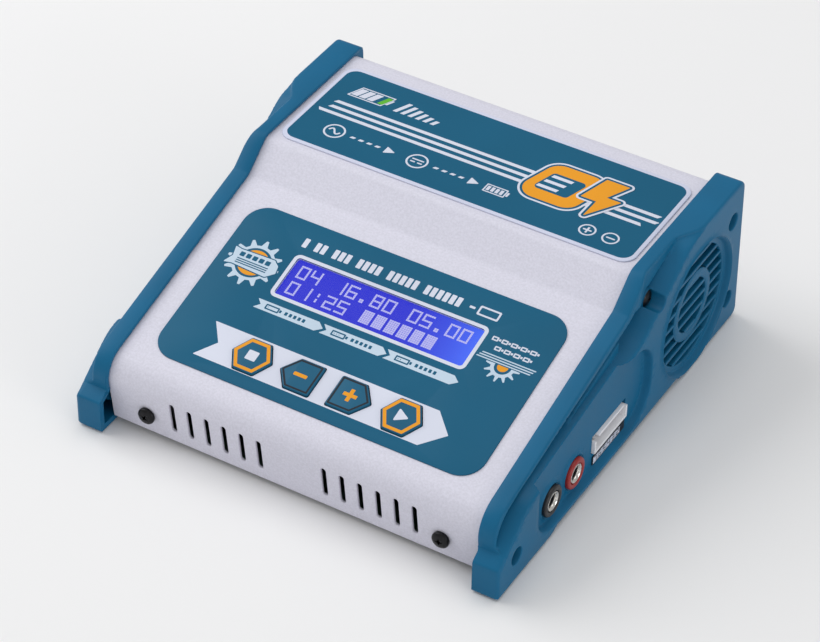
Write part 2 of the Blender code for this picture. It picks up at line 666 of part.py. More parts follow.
def make_electronics():
    """Parts that stand on the two boards."""
    top = BOARD_Z + BOARD + STAND_OFF
    cylinder("mains_capacitor", (-47.5, -31.0, top + 8.2), 8.0, 28.0, axis="Y", finish="black_plastic")
    make_transformer(-20.0, 14.0, top)
    torus("line_choke", (-46.0, 4.0, top + 3.4), 6.4, 3.2, "copper")
    make_heatsink("supply_heatsink", -14.0, 34.0, 24.0)
    box("supply_transistor", (-10.8, 40.0, top + 3.0), (-6.3, 50.0, top + 18.0), "black_plastic")
    cylinder("output_capacitor", (8.0, 20.0, top + 10.1), 6.5, 20.0, finish="black_plastic")
    make_heatsink("charger_heatsink", 24.0, 0.0, 44.0)
    box("charger_transistor", (27.2, 14.0, top + 3.0), (31.7, 24.0, top + 18.0), "black_plastic")
    cylinder("buzzer", (34.0, -46.0, top + 4.6), 6.0, 9.0, finish="black_plastic")
    box("controller_chip", (26.0, -22.0, top), (38.0, -10.0, top + 1.6), "black_plastic")


def make_transformer(x, y, top):
    """A core with a window on each side of its middle leg, and the winding around that leg."""
    core = box("transformer_core", (x - 13.0, y - 14.0, top), (x + 13.0, y + 14.0, top + 22.0), "ferrite")
    cut(core, box("window", (x - 8.0, y - 20.0, top + 5.0), (x + 8.0, y + 20.0, top + 17.0)))
    join(core, box("leg", (x - 3.5, y - 14.0, top + 4.0), (x + 3.5, y + 14.0, top + 18.0)))
    outer = rounded(box_outline(x - 7.6, x + 7.6, top + 5.4, top + 16.6, 1.5), steps=2)
    coil = prism("transformer_coil", outer, y - 17.0, y + 17.0, axis="Y", finish="copper")
    bore = box("bore", (x - 3.9, y - 14.4, top + 3.0), (x + 3.9, y + 14.4, top + 19.0))
    return cut(coil, bore)


def torus(name, centre, radius, tube, finish):
    bpy.ops.mesh.primitive_torus_add(location=Vector(centre) * MM, major_radius=radius * MM,
                                     minor_radius=tube * MM, major_segments=24, minor_segments=10)
    ring = bpy.context.object
    ring.name = name
    for holder in list(ring.users_collection):
        holder.objects.unlink(ring)
    PARTS.objects.link(ring)
    ring.data.shade_smooth()
    ring.data.materials.append(material(finish))
    return ring


# ---------------------------------------------------------------- fan
def make_fan():
    """Square frame with a motor cup on three arms, and a seven-bladed rotor."""
    inner = FAN_X - FAN_DEPTH
    half = FAN_SIZE / 2
    frame = prism("fan_frame", rounded(box_outline(FAN_Y - half, FAN_Y + half, FAN_Z - half,
                                                   FAN_Z + half, 2.5), steps=2),
                  inner, FAN_X, axis="X", finish="black_plastic")
    cut(frame, cylinder("duct", (FAN_X, FAN_Y, FAN_Z), 18.9, 40.0, axis="X", count=32))
    for y in (-16, 16):
        for z in (-16, 16):
            cut(frame, cylinder("hole", (FAN_X, FAN_Y + y, FAN_Z + z), 1.7, 40.0, axis="X", count=10))
    cup = cylinder("cup", (inner + 1.0, FAN_Y, FAN_Z), 9.0, 2.0, axis="X", count=24)
    join(frame, cup)
    for k in range(3):
        arm = box("arm", (inner, 7.0, -1.2), (inner + 1.6, 20.0, 1.2))
        arm.data.transform(Matrix.Translation(Vector((0, FAN_Y, FAN_Z)) * MM)
                           @ Matrix.Rotation(2 * math.pi * k / 3 + 0.4, 4, "X"))
        join(frame, arm)
    join(frame, cylinder("stator", (inner + 4.0, FAN_Y, FAN_Z), 6.0, 6.0, axis="X", count=20))

    rotor = cylinder("fan_rotor", (FAN_X - 3.6, FAN_Y, FAN_Z), 9.4, 6.8, axis="X",
                     finish="black_plastic", count=28)
    cut(rotor, cylinder("inside", (inner + 4.8, FAN_Y, FAN_Z), 8.2, 6.6, axis="X", count=24))
    for k in range(7):
        blade = box("blade", (-3.0, 8.9, -0.5), (3.0, 18.0, 0.5))
        blade.data.transform(Matrix.Rotation(math.radians(38), 4, "Y"))
        widen_tip(blade)
        blade.data.transform(Matrix.Translation(Vector((FAN_X - 3.9, FAN_Y, FAN_Z)) * MM)
                             @ Matrix.Rotation(2 * math.pi * k / 7, 4, "X"))
        join(rotor, blade)
    move_origin(rotor, (FAN_X - 3.9, FAN_Y, FAN_Z))


def widen_tip(blade):
    """Make a blade that still lies along Y a little wider at its tip than at its root."""
    for vertex in blade.data.vertices:
        if vertex.co.y > 12.0 * MM:
            vertex.co.x *= 1.15


# ---------------------------------------------------------------- sockets
def make_output_sockets():
    """Two banana sockets: a coloured collar with a neck, and a sprung metal tube inside."""
    floor = HALF - SCOOP_DEPTH
    for name, y, finish in (("black_socket", SOCKET_Y[0], "black_plastic"),
                            ("red_socket", SOCKET_Y[1], "red_plastic")):
        collar = cylinder(name, (floor + GAP + 0.6, y, SOCKET_Z), 5.0, 1.2, axis="X", finish=finish,
                          count=32, tip=4.8)
        join(collar, cylinder("neck", (floor - 5.0, y, SOCKET_Z), 4.0, 11.2, axis="X", count=24))
        cut(collar, cylinder("bore", (floor, y, SOCKET_Z), 3.0, 40.0, axis="X", count=24))
        tube = cylinder(name + "_contact", (floor - 6.0, y, SOCKET_Z), 2.8, 14.6, axis="X",
                        finish="brass", count=24)
        cut(tube, cylinder("bore", (floor - 3.0, y, SOCKET_Z), 2.05, 14.0, axis="X", count=20))


def make_balance_port():
    """A seven-way header: an open shell with a notched top and a comb of seven pins."""
    floor = HALF - SCOOP_DEPTH
    length, height = PORT_SIZE
    inner, outer = floor - 9.0, floor + 1.0
    y0, y1 = PORT_Y - length / 2, PORT_Y + length / 2
    z0, z1 = PORT_Z - height / 2, PORT_Z + height / 2
    shell = box("balance_port", (inner, y0, z0), (outer, y1, z1), "white_plastic")
    cut(shell, box("mouth", (inner + 2.2, y0 + 0.9, z0 + 0.8), (outer + 2, y1 - 0.9, z1 - 0.8)),
        box("notch", (outer - 4.5, y0 - 1.0, z1 - 1.6), (outer + 2, y0 + 2.2, z1 + 1)),
        box("notch", (outer - 4.5, y1 - 2.2, z1 - 1.6), (outer + 2, y1 + 1, z1 + 1)))
    pins = box("balance_pins", (inner - 3.0, y0 + 1.0, PORT_Z - 0.7), (inner - 1.6, y1 - 1.0, PORT_Z + 0.7),
               "brass")
    for k in range(7):
        y = PORT_Y + (k - 3) * 2.5
        cut(shell, box("pin_hole", (inner - 1, y - 0.5, PORT_Z - 0.5), (inner + 3, y + 0.5, PORT_Z + 0.5)))
        join(pins, box("pin", (inner - 2.4, y - 0.32, PORT_Z - 0.32), (outer - 1.6, y + 0.32, PORT_Z + 0.32)))
    box("port_strip", (floor + 0.1, y0 + 0.2, z0 - 2.75), (floor + 0.4, y1 - 0.2, z0 - 0.35), "blue_film")


def make_left_sockets():
    """Mains inlet, direct-current jack and sensor port of the left panel."""
    width, height = INLET_SIZE
    y0, y1 = INLET_Y - width / 2, INLET_Y + width / 2
    z0, z1 = INLET_Z - height / 2, INLET_Z + height / 2
    face = -HALF
    shell = box("mains_inlet", (face + 0.2, y0, z0), (face + 19.0, y1, z1), "black_plastic")
    mouth = [(INLET_Y - 12.2, INLET_Z - 8.3, 1.0), (INLET_Y + 12.2, INLET_Z - 8.3, 1.0),
             (INLET_Y + 12.2, INLET_Z + 3.3, 0.6), (INLET_Y + 7.6, INLET_Z + 8.3, 0.6),
             (INLET_Y - 7.6, INLET_Z + 8.3, 0.6), (INLET_Y - 12.2, INLET_Z + 3.3, 0.6)]
    cut(shell, prism("mouth", rounded(mouth, steps=2), face - 3.0, face + 17.0, axis="X"))
    pins = box("mains_pins", (face + 20.2, INLET_Y - 9.0, INLET_Z - 3.0), (face + 22.0, INLET_Y + 9.0,
                                                                      INLET_Z + 3.0), "brass")
    for y, z in ((-7.0, -2.0), (7.0, -2.0), (0.0, 2.0)):
        cut(shell, box("hole", (face + 10, INLET_Y + y - 1.3, INLET_Z + z - 2.3),
                       (face + 30, INLET_Y + y + 1.3, INLET_Z + z + 2.3)))
        join(pins, box("pin", (face + 6.5, INLET_Y + y - 1.0, INLET_Z + z - 2.0),
                       (face + 21.0, INLET_Y + y + 1.0, INLET_Z + z + 2.0)))

    floor = -HALF + SCOOP_DEPTH
    jack = cylinder("dc_jack", (floor + 5.5, JACK_Y, PORT_Z), 5.0, 12.6, axis="X", finish="black_plastic",
                    count=24)
    cut(jack, cylinder("bore", (floor + 3.0, JACK_Y, PORT_Z), 3.3, 13.0, axis="X", count=20),
        cylinder("pin_hole", (floor + 10.0, JACK_Y, PORT_Z), 1.3, 8.0, axis="X", count=12))
    cylinder("dc_jack_pin", (floor + 7.0, JACK_Y, PORT_Z), 1.0, 13.0, axis="X", finish="brass", count=12)

    wide, tall = SENSOR_HALF
    wall = 0.9
    shell = box("sensor_port", (floor - 0.4, SENSOR_Y - wide, PORT_Z - tall),
                (floor + 9.0, SENSOR_Y + wide, PORT_Z + tall), "white_plastic")
    cut(shell, box("mouth", (floor - 3.0, SENSOR_Y - wide + wall, PORT_Z - tall + wall),
                   (floor + 7.0, SENSOR_Y + wide - wall, PORT_Z + tall - wall)))
    comb = box("sensor_pins", (floor + 10.4, SENSOR_Y - 3.2, PORT_Z - 0.7), (floor + 11.8, SENSOR_Y + 3.2,
                                                                        PORT_Z + 0.7), "brass")
    for k in (-1, 0, 1):
        y = SENSOR_Y + k * 2.5
        cut(shell, box("pin_hole", (floor + 5, y - 0.5, PORT_Z - 0.5), (floor + 12, y + 0.5, PORT_Z + 0.5)))
        join(comb, box("pin", (floor + 1.5, y - 0.32, PORT_Z - 0.32),
                       (floor + 11.0, y + 0.32, PORT_Z + 0.32)))


# ---------------------------------------------------------------- screws
def screw(name, head, direction, axis, finish="black_screw", radius=2.75, length=7.0, shank=1.05):
    """Pan-head screw with a cross recess; the head's outer face is at the given point."""
    index = "XYZ".index(axis)

    def along(distance):
        place = list(head)
        place[index] -= direction * distance
        return place

    made = cylinder(name, along(HEAD_RISE / 2), radius, HEAD_RISE, axis=axis, finish=finish, count=16)
    join(made, cylinder("shank", along(HEAD_RISE + length / 2 - 0.2), shank, length + 0.4, axis=axis,
                        count=10))
    for long_way in (0, 1):
        reach = (1.5, 0.32) if long_way else (0.32, 1.5)
        sizes = [0.0, 0.0, 0.0]
        others = [k for k in range(3) if k != index]
        sizes[others[0]], sizes[others[1]] = reach
        sizes[index] = 0.9
        low = [head[k] - sizes[k] for k in range(3)]
        high = [head[k] + sizes[k] for k in range(3)]
        cut(made, box("recess", low, high))
    return made


def make_screws():
    lift = 0.15
    for side, word in ((-1, "left"), (1, "right")):
        screw(f"front_screw_{word}", (side * SCREW_X, wall_y(SCREW_Z) - HEAD_RISE - 0.5, SCREW_Z), -1, "Y")
        screw(f"back_screw_{word}", (side * SCREW_X, BACK_Y + HEAD_RISE + lift, SCREW_Z), 1, "Y")
        back, z = RAIL_SCREW
        screw(f"rail_screw_{word}", (side * (GROOVE_X + HEAD_RISE - 0.05), FRONT + back, z), side, "X",
              radius=2.6, length=6.0)
        for place, (back, z) in PANEL_SCREWS.items():
            head_x = HALF - WELL_DEPTH + HEAD_RISE + lift
            screw(f"{place}_screw_{word}", (side * head_x, FRONT + back, z), side, "X",
                  radius=2.5, length=4.5)


# ---------------------------------------------------------------- assembly
def main():
    make_cover()
    make_base()
    make_right_panel()
    make_left_panel()
    make_labels()
    make_display()
    make_keys()
    make_key_board()
    make_boards()
    make_electronics()
    make_fan()
    make_output_sockets()
    make_balance_port()
    make_left_sockets()
    make_screws()


main()
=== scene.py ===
import json
import math
from functools import partial

import bmesh
import bpy
import numpy as np
from mathutils import Matrix, Vector
from mathutils.geometry import delaunay_2d_cdt


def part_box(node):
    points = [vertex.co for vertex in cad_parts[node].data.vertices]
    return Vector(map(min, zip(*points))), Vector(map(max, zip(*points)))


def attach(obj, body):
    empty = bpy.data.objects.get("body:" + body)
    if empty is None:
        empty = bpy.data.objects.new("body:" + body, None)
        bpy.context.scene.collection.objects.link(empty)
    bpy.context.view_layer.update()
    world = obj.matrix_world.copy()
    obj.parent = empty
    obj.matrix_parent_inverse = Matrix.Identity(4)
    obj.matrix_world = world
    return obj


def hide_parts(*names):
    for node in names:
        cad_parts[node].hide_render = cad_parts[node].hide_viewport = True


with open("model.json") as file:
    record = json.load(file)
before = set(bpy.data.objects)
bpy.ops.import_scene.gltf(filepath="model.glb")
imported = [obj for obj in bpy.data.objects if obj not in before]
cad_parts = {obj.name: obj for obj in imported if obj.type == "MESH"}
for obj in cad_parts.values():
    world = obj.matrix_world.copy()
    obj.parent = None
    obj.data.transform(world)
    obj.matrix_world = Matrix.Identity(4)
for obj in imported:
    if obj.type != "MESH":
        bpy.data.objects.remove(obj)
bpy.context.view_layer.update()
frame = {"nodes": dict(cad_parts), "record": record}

# Looks of a balance battery charger. Sizes are in millimetres until a mesh is made.
MM = 0.001


def millimetres(node):
    low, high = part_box(node)
    return low / MM, high / MM


# ---------------------------------------------------------------- sizes from the frame
PANEL_LOW, PANEL_HIGH = millimetres("right_panel")
COVER_LOW, COVER_HIGH = millimetres("top_cover")
HALF = PANEL_HIGH.x                 # outer face of a side panel
TOE = PANEL_LOW.y                   # front of the feet
HEEL = PANEL_HIGH.y                 # back of the feet
RAIL_IN = PANEL_LOW.x               # inner edge of a rail, over the cover
RAIL_TOP = PANEL_HIGH.z
UPPER_Z = COVER_HIGH.z              # level of the upper deck
BACK_Y = COVER_HIGH.y               # back wall of the cover
COVER_HALF = COVER_HIGH.x
RISE = RAIL_TOP - UPPER_Z           # the rail stands this far above the cover

# ---------------------------------------------------------------- sizes of the design
FRONT = TOE + 4.96                  # front wall of the cover, at the top of the slots
WALL_LEAN = 0.127
SLOT_Z = (5.7, 16.8)
BACK_SLOT_Z = (36.0, 22.0)
SLOT_WIDTH = 1.75
SLOT_FIRST, SLOT_PITCH, SLOT_COUNT = 10.9, 5.93, 6
DECK_TILT = math.radians(15.33)
DECK_START = (FRONT + 9.08, 25.25)
SHEET = 0.9
FOOT = 1.9                          # lower edge of the sheet
FILM_TOP = 0.45                     # upper face of a printed film above the sheet
SCREW_X, SCREW_Z = 49.4, 8.8


def wall_y(z):
    return FRONT + (SLOT_Z[1] - z) * WALL_LEAN


def deck_point(u, n=0.0):
    """Y and Z of a point on the lower deck, u back from the overlay's edge, n above it."""
    return (DECK_START[0] + u * math.cos(DECK_TILT) - n * math.sin(DECK_TILT),
            DECK_START[1] + u * math.sin(DECK_TILT) + n * math.cos(DECK_TILT))


# ---------------------------------------------------------------- outlines
def fillet(corners, closed=True, step=9.0):
    """Replace each corner (u, v, radius) by an arc, with a point every few degrees."""
    out = []
    count = len(corners)
    for i, corner in enumerate(corners):
        here = Vector(corner[:2])
        radius = corner[2] if len(corner) > 2 else 0.0
        if radius <= 0 or (not closed and i in (0, count - 1)):
            out.append(here)
            continue
        before = (Vector(corners[i - 1][:2]) - here).normalized()
        after = (Vector(corners[(i + 1) % count][:2]) - here).normalized()
        half = before.angle(after) / 2
        reach = radius / math.tan(half)
        centre = here + (before + after).normalized() * (radius / math.sin(half))
        start = here + before * reach - centre
        turn = start.angle_signed(here + after * reach - centre)
        steps = max(2, round(abs(math.degrees(turn)) / step))
        for k in range(steps + 1):
            out.append(centre + Matrix.Rotation(-turn * k / steps, 2) @ start)
    return out


def shifted(corners, distance):
    """An open outline of corners moved to its left, with concentric bends."""
    lines = []
    for (u0, v0, _), (u1, v1, _) in zip(corners, corners[1:]):
        along = Vector((u1 - u0, v1 - v0)).normalized()
        normal = Vector((-along.y, along.x))
        lines.append((Vector((u0, v0)) + normal * distance, along, normal))
    out = [(*lines[0][0], 0.0)]
    for i in range(1, len(corners) - 1):
        start, along, _ = lines[i - 1]
        other, _, normal = lines[i]
        corner = start + along * ((other - start).dot(normal) / along.dot(normal))
        left_turn = along.cross(lines[i][1]) > 0
        radius = corners[i][2] - distance if left_turn else corners[i][2] + distance
        out.append((*corner, max(radius, 0.3)))
    out.append((*(Vector(corners[-1][:2]) + lines[-1][2] * distance), 0.0))
    return out


def grown(corners, distance):
    """A closed outline of corners moved outwards, or inwards when the distance is negative."""
    count = len(corners)
    area = sum(corners[i - 1][0] * corners[i][1] - corners[i][0] * corners[i - 1][1] for i in range(count))
    outward = -1.0 if area > 0 else 1.0
    out = []
    for i, corner in enumerate(corners):
        here = Vector(corner[:2])
        radius = corner[2] if len(corner) > 2 else 0.0
        into = (here - Vector(corners[i - 1][:2])).normalized()
        away = (Vector(corners[(i + 1) % count][:2]) - here).normalized()
        normal = Vector((-into.y, into.x)) * outward
        other = Vector((-away.y, away.x)) * outward
        moved = here + (normal + other) * distance / (1.0 + normal.dot(other))
        convex = into.cross(away) * outward < 0
        out.append((*moved, max(radius + distance if convex else radius - distance, 0.0)))
    return out


def rectangle(u0, u1, v0, v1, radius=0.0):
    return [(u0, v0, radius), (u1, v0, radius), (u1, v1, radius), (u0, v1, radius)]


def circle(u, v, radius, count=48):
    return [Vector((u + radius * math.cos(2 * math.pi * k / count),
                    v + radius * math.sin(2 * math.pi * k / count))) for k in range(count)]


def divided(points, pitch, closed=True):
    """The same line with extra points so that no piece is longer than the pitch."""
    out = []
    pairs = zip(points, points[1:] + points[:1]) if closed else zip(points, points[1:])
    for a, b in pairs:
        count = max(1, math.ceil((b - a).length / pitch))
        out.extend(a.lerp(b, k / count) for k in range(count))
    if not closed:
        out.append(points[-1])
    return out


def sheet_corners():
    """Profile of the cover from its front hem to its back hem, with bend radii."""
    step_low, step_high, bend_z = FRONT + 75.0, FRONT + 84.8, 22.6
    return [(wall_y(FOOT), FOOT, 0.0), (wall_y(bend_z), bend_z, 8.0),
            (step_low, DECK_START[1] + (step_low - DECK_START[0]) * math.tan(DECK_TILT), 4.0),
            (step_high, UPPER_Z, 4.0), (BACK_Y, UPPER_Z, 6.0), (BACK_Y, FOOT, 0.0)]


# ---------------------------------------------------------------- distances, for whole arrays of points
def as_array(points):
    return np.array([tuple(p)[:2] for p in points], float)


def distance(spots, line, closed=True):
    """Distance from each spot to a line of points."""
    a = as_array(line)
    b = np.roll(a, -1, axis=0)
    if not closed:
        a, b = a[:-1], b[:-1]
    run = b - a
    size = np.maximum((run ** 2).sum(axis=1), 1e-12)
    best = np.full(len(spots), 1e9)
    for start, step, square in zip(a, run, size):
        t = np.clip(((spots - start) @ step) / square, 0.0, 1.0)
        best = np.minimum(best, np.hypot(*(spots - start - t[:, None] * step).T))
    return best


def inside(spots, line):
    """Which spots lie within a closed line."""
    a = as_array(line)
    b = np.roll(a, -1, axis=0)
    odd = np.zeros(len(spots), bool)
    for (x0, y0), (x1, y1) in zip(a, b):
        if y0 == y1:
            continue
        crosses = (spots[:, 1] < y0) != (spots[:, 1] < y1)
        odd ^= crosses & (spots[:, 0] < x0 + (spots[:, 1] - y0) * (x1 - x0) / (y1 - y0))
    return odd


def depth_in(spots, line):
    """Distance inside a closed line, negative outside it."""
    reach = distance(spots, line)
    return np.where(inside(spots, line), reach, -reach)


def smooth(low, high, value):
    t = np.clip((value - low) / (high - low), 0.0, 1.0)
    return t * t * (3.0 - 2.0 * t)


def round_drop(depth, radius):
    """How far a rounded edge falls below the face, at a depth inside the edge."""
    t = np.clip(depth, 0.0, radius)
    return radius - np.sqrt(radius ** 2 - (radius - t) ** 2)


# ---------------------------------------------------------------- solids
def link(made):
    bpy.context.scene.collection.objects.link(made)
    return made


def add_piece(name, mesh, finish, body="housing", node=None):
    """A piece that rides a body and, where a node is named, stands in for it."""
    mesh.name = name
    made = link(bpy.data.objects.new(name, mesh))
    mesh.materials.append(MATERIALS[finish])
    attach(made, body)
    if node:
        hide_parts(node)


def make_mesh(points, faces, sharp=38.0):
    mesh = bpy.data.meshes.new("solid")
    mesh.from_pydata([tuple(p) for p in points], [], faces)
    mesh.validate()
    mesh.shade_smooth()
    mesh.set_sharp_from_angle(angle=math.radians(sharp))
    return mesh


def field_mesh(lines, keep, top, bottom, place, flip=False, sharp=38.0, dots=()):
    """A closed solid between two height fields over a flat region cut up along lines."""
    points, edges = [], []
    for line, closed in lines:
        first = len(points)
        points.extend(line)
        last = first + len(line) - 1
        edges += [(k, k + 1) for k in range(first, last)]
        if closed:
            edges.append((last, first))
    points.extend(Vector(p) for p in dots)
    flat = delaunay_2d_cdt(points, edges, [], 0, 1e-4)
    spots = np.array([tuple(p) for p in flat[0]], float)
    triangles = np.array(flat[2], int)
    triangles = triangles[keep(spots[triangles].mean(axis=1))]
    used, triangles = np.unique(triangles, return_inverse=True)
    spots, triangles = spots[used], triangles.reshape(-1, 3)
    count = len(spots)
    solid = np.concatenate([place(spots, top(spots)), place(spots, bottom(spots))]) * MM
    directed = {(int(t[k]), int(t[(k + 1) % 3])) for t in triangles for k in range(3)}
    walls = [(b, a, a + count, b + count) for a, b in sorted(directed) if (b, a) not in directed]
    faces = [tuple(map(int, t)) for t in triangles]
    faces += [(int(c) + count, int(b) + count, int(a) + count) for a, b, c in triangles] + walls
    if flip:
        faces = [f[::-1] for f in faces]
    return make_mesh(solid, faces, sharp)


def on_deck(spots, height):
    y, z = deck_point(spots[:, 1], height)
    return np.stack([spots[:, 0], y, z], axis=1)


def on_upper(spots, height):
    return np.stack([spots[:, 0], spots[:, 1], UPPER_Z + height], axis=1)


def everywhere(value):
    return lambda spots: np.full(len(spots), float(value))


def between(loops):
    """Keep what an odd number of loops holds."""
    def keep(spots):
        odd = np.zeros(len(spots), bool)
        for loop in loops:
            odd ^= inside(spots, loop)
        return odd
    return keep


def plate_mesh(outer, holes, low, high, place, edge=0.0):
    """A plate with holes, from outlines of corners, with rounded upper edges."""
    loops = [fillet(loop) for loop in (outer, *holes)]
    lines = [(loop, True) for loop in loops]
    for part in (0.12, 0.45, 1.0) if edge else ():
        lines.append((fillet(grown(outer, -edge * part)), True))
        lines += [(fillet(grown(hole, edge * part)), True) for hole in holes]

    def top(spots):
        if not edge:
            return np.full(len(spots), high)
        return high - round_drop(np.min([distance(spots, loop) for loop in loops], axis=0), edge)

    return field_mesh(lines, between(loops), top, everywhere(low), place)


def lathe_mesh(profile, centre, axis="X", ring=False, count=48):
    """Turn a profile of (along, radius) points about an axis through a centre."""
    bm = bmesh.new()
    rows = []
    for along, radius in profile:
        turns = [0.0] if radius < 1e-6 else [2 * math.pi * k / count for k in range(count)]
        row = []
        for turn in turns:
            spot = (along, radius * math.cos(turn), radius * math.sin(turn))
            if axis == "Z":
                spot = (*spot[1:], along)
            row.append(bm.verts.new((Vector(centre) + Vector(spot)) * MM))
        rows.append(row)
    pairs = list(zip(rows, rows[1:])) + ([(rows[-1], rows[0])] if ring else [])
    for first, second in pairs:
        for k in range(count):
            after = (k + 1) % count
            if len(first) == 1:
                bm.faces.new((first[0], second[k], second[after]))
            elif len(second) == 1:
                bm.faces.new((first[k], second[0], first[after]))
            else:
                bm.faces.new((first[k], second[k], second[after], first[after]))
    bmesh.ops.recalc_face_normals(bm, faces=bm.faces)
    return finished(bm)


def finished(bm, sharp=38.0):
    mesh = bpy.data.meshes.new("solid")
    bm.to_mesh(mesh)
    bm.free()
    mesh.shade_smooth()
    mesh.set_sharp_from_angle(angle=math.radians(sharp))
    return mesh


def joined(meshes, sharp):
    bm = bmesh.new()
    for mesh in meshes:
        bm.from_mesh(mesh)
        bpy.data.meshes.remove(mesh)
    return finished(bm, sharp)


def softened(node, width):
    """A copy of a node's mesh with every sharp edge rounded over."""
    bm = bmesh.new()
    bm.from_mesh(frame["nodes"][node].data)
    bmesh.ops.remove_doubles(bm, verts=bm.verts, dist=0.002 * MM)
    bmesh.ops.dissolve_limit(bm, angle_limit=math.radians(1.0), verts=bm.verts, edges=bm.edges)
    sharp = [e for e in bm.edges if len(e.link_faces) == 2 and e.calc_face_angle() > math.radians(40)]
    bmesh.ops.bevel(bm, geom=sharp, offset=width * MM, segments=2, profile=0.5, affect="EDGES",
                    clamp_overlap=True)
    return finished(bm, sharp=30.0)


def runs(points, keep, closed=True):
    """The stretches of a line whose points are kept, as open lines."""
    flags = keep(as_array(points))
    if closed and flags.all():
        return [(points, True)]
    out, current = [], []
    for point, flag in zip(points, flags):
        if flag:
            current.append(point)
        elif current:
            out.append(current)
            current = []
    if current:
        out.append(current)
    return [(run, False) for run in out if len(run) > 1]


# ---------------------------------------------------------------- side panels
GROOVE_X = 63.7                 # bottom of the groove
RAIL_OUT = 67.4                 # outer edge of a rail
RAIL_STEP = 1.2                 # the rail is narrower by this beside the upper deck
PANEL_IN = 62.6                 # inner face of a panel, beside the cover
LIP_IN = PANEL_IN - 0.2
WALL = 2.0
EDGE = 0.9                      # rounding of a panel's outer edge
SCOOP_DEPTH, SCOOP_WALL = 2.5, 1.2
LEDGE_RISE = 2.7
SEAM_DEPTH, SEAM_PLACE = 0.6, 5.5
FAN_Y, FAN_Z = FRONT + 113.39, 22.8
GRILLE_RADIUS, GRILLE_RING, GRILLE_DISH = 19.5, 21.85, 1.5
SLAT_PITCH, SLAT = 4.2, 1.3
HUB_RING = (8.9, 11.85)
PANEL_SCREWS = [(FRONT + back, z, 2.85) for back, z in ((5.2, 9.2), (136.0, 10.2), (134.7, 40.6))]
RAIL_SCREW = (FRONT + 88.0, 41.5, 2.9)
BORES = PANEL_SCREWS + [RAIL_SCREW]     # Y, Z and radius of every screw bore

RAIL = shifted(sheet_corners(), RISE)
RAIL_FRONT = (wall_y(13.6) - RISE, 13.6, 0.0)
OUTLINE = [(TOE, 0.0, 0.8), (TOE, 11.1, 1.2), (*RAIL_FRONT[:2], 0.4), RAIL[1], RAIL[2], RAIL[3],
           (FRONT + 141.2, RAIL_TOP, 3.5), (HEEL, 0.0, 2.5), (FRONT + 105.6, 0.0, 0.5),
           (FRONT + 103.4, 1.2, 0.5), (FRONT + 29.8, 1.2, 0.5), (FRONT + 26.1, 0.0, 0.5)]
RAIL_LINE = [RAIL_FRONT, RAIL[1], RAIL[2], RAIL[3], (FRONT + 141.2, RAIL_TOP, 0.0)]
SHOULDER = [(FRONT - 1.4, 12.9, 0.0), (FRONT + 12.0, 23.1, 12.0), (FRONT + 77.5, 34.0, 16.0),
            (FRONT + 105.5, 50.6, 10.0), (FRONT + 121.0, RAIL_TOP, 0.0)]
PLATE = OUTLINE[:2] + SHOULDER + OUTLINE[6:]
SCOOP = [(FRONT + 17.0, 3.2, 9.5), (FRONT + 85.3, 3.2, 12.0), (FRONT + 85.3, 31.0, 12.0),
         (FRONT + 66.0, 33.5, 2.0), (FRONT + 66.0, 40.0, 0.0), (FRONT + 22.0, 40.0, 0.0),
         (FRONT + 17.0, 27.0, 4.0)]
LEDGE = [(*deck_point(22.0, -4.1), 0.0), (*deck_point(63.0, -4.1), 0.0), (FRONT + 70.6, 31.3, 0.0),
         (FRONT + 50.0, 27.7, 30.0), (FRONT + 31.0, 23.7, 0.0)]
OUTLINE_LOOP, PLATE_LOOP, SCOOP_LOOP, LEDGE_LOOP = map(fillet, (OUTLINE, PLATE, SCOOP, LEDGE))
RAIL_CURVE = fillet(RAIL_LINE, closed=False)


def grid(pitch, y_range, z_range):
    return np.array([(y, z) for y in np.arange(*y_range, pitch) for z in np.arange(*z_range, pitch)])


def panel_lines(holes):
    """Lines along every edge and bend of a panel, and dots between them."""
    lines = [(divided(OUTLINE_LOOP, 2.0), True)]
    for depth in (0.1, 0.32, EDGE, WALL, WALL + 0.1):
        ring = divided(fillet(grown(OUTLINE, -depth)), 2.0)
        lines += runs(ring, lambda s: depth_in(s, OUTLINE_LOOP) > depth * 0.8)

    def in_band(spots):
        return (depth_in(spots, OUTLINE_LOOP) > 0.3) & (depth_in(spots, PLATE_LOOP) < 0.6)

    bends = [shifted(RAIL_LINE, -depth) for depth in (1.2, 1.9, 2.6, 3.3, 4.0, 4.8, 5.6, 6.4)]
    bends += [shifted(SHOULDER, height) for height in (-0.3, 0.1, 0.5, 0.9, 1.3, 1.7, 2.1, 2.5)]
    for bend in bends:
        lines += runs(divided(fillet(bend, closed=False), 1.4, closed=False), in_band, closed=False)
    for depth in (-0.45, -0.15, 0.15, 0.45):
        lines += runs(divided(fillet(grown(LEDGE, -depth)), 1.2), lambda s: depth_in(s, PLATE_LOOP) < -0.2)
    for depth in (0.0, 0.2, 0.4, 0.6, 0.8, 1.0, SCOOP_WALL):
        lines += runs(divided(fillet(grown(SCOOP, -depth)), 1.4),
                      lambda s: (depth_in(s, PLATE_LOOP) > -1.5) & (depth_in(s, OUTLINE_LOOP) > EDGE))
    lines += [(hole, True) for hole in holes]
    dots = grid(1.9, (TOE + 1.3, HEEL), (1.3, RAIL_TOP))
    dots = dots[depth_in(dots, OUTLINE_LOOP) > 1.0]
    band = grid(0.55, (TOE, HEEL), (12.0, RAIL_TOP))
    band = band[(depth_in(band, OUTLINE_LOOP) > 1.0) & (depth_in(band, PLATE_LOOP) < 0.5)]
    fine = grid(0.28, (SCOOP[0][0] - 3.0, SCOOP[1][0] + 3.0), (20.0, 38.0))
    meeting = (np.abs(depth_in(fine, SCOOP_LOOP)) < 1.6) & (np.abs(depth_in(fine, PLATE_LOOP)) < 1.8)
    return lines, [tuple(d) for d in (*dots, *band, *fine[meeting])]


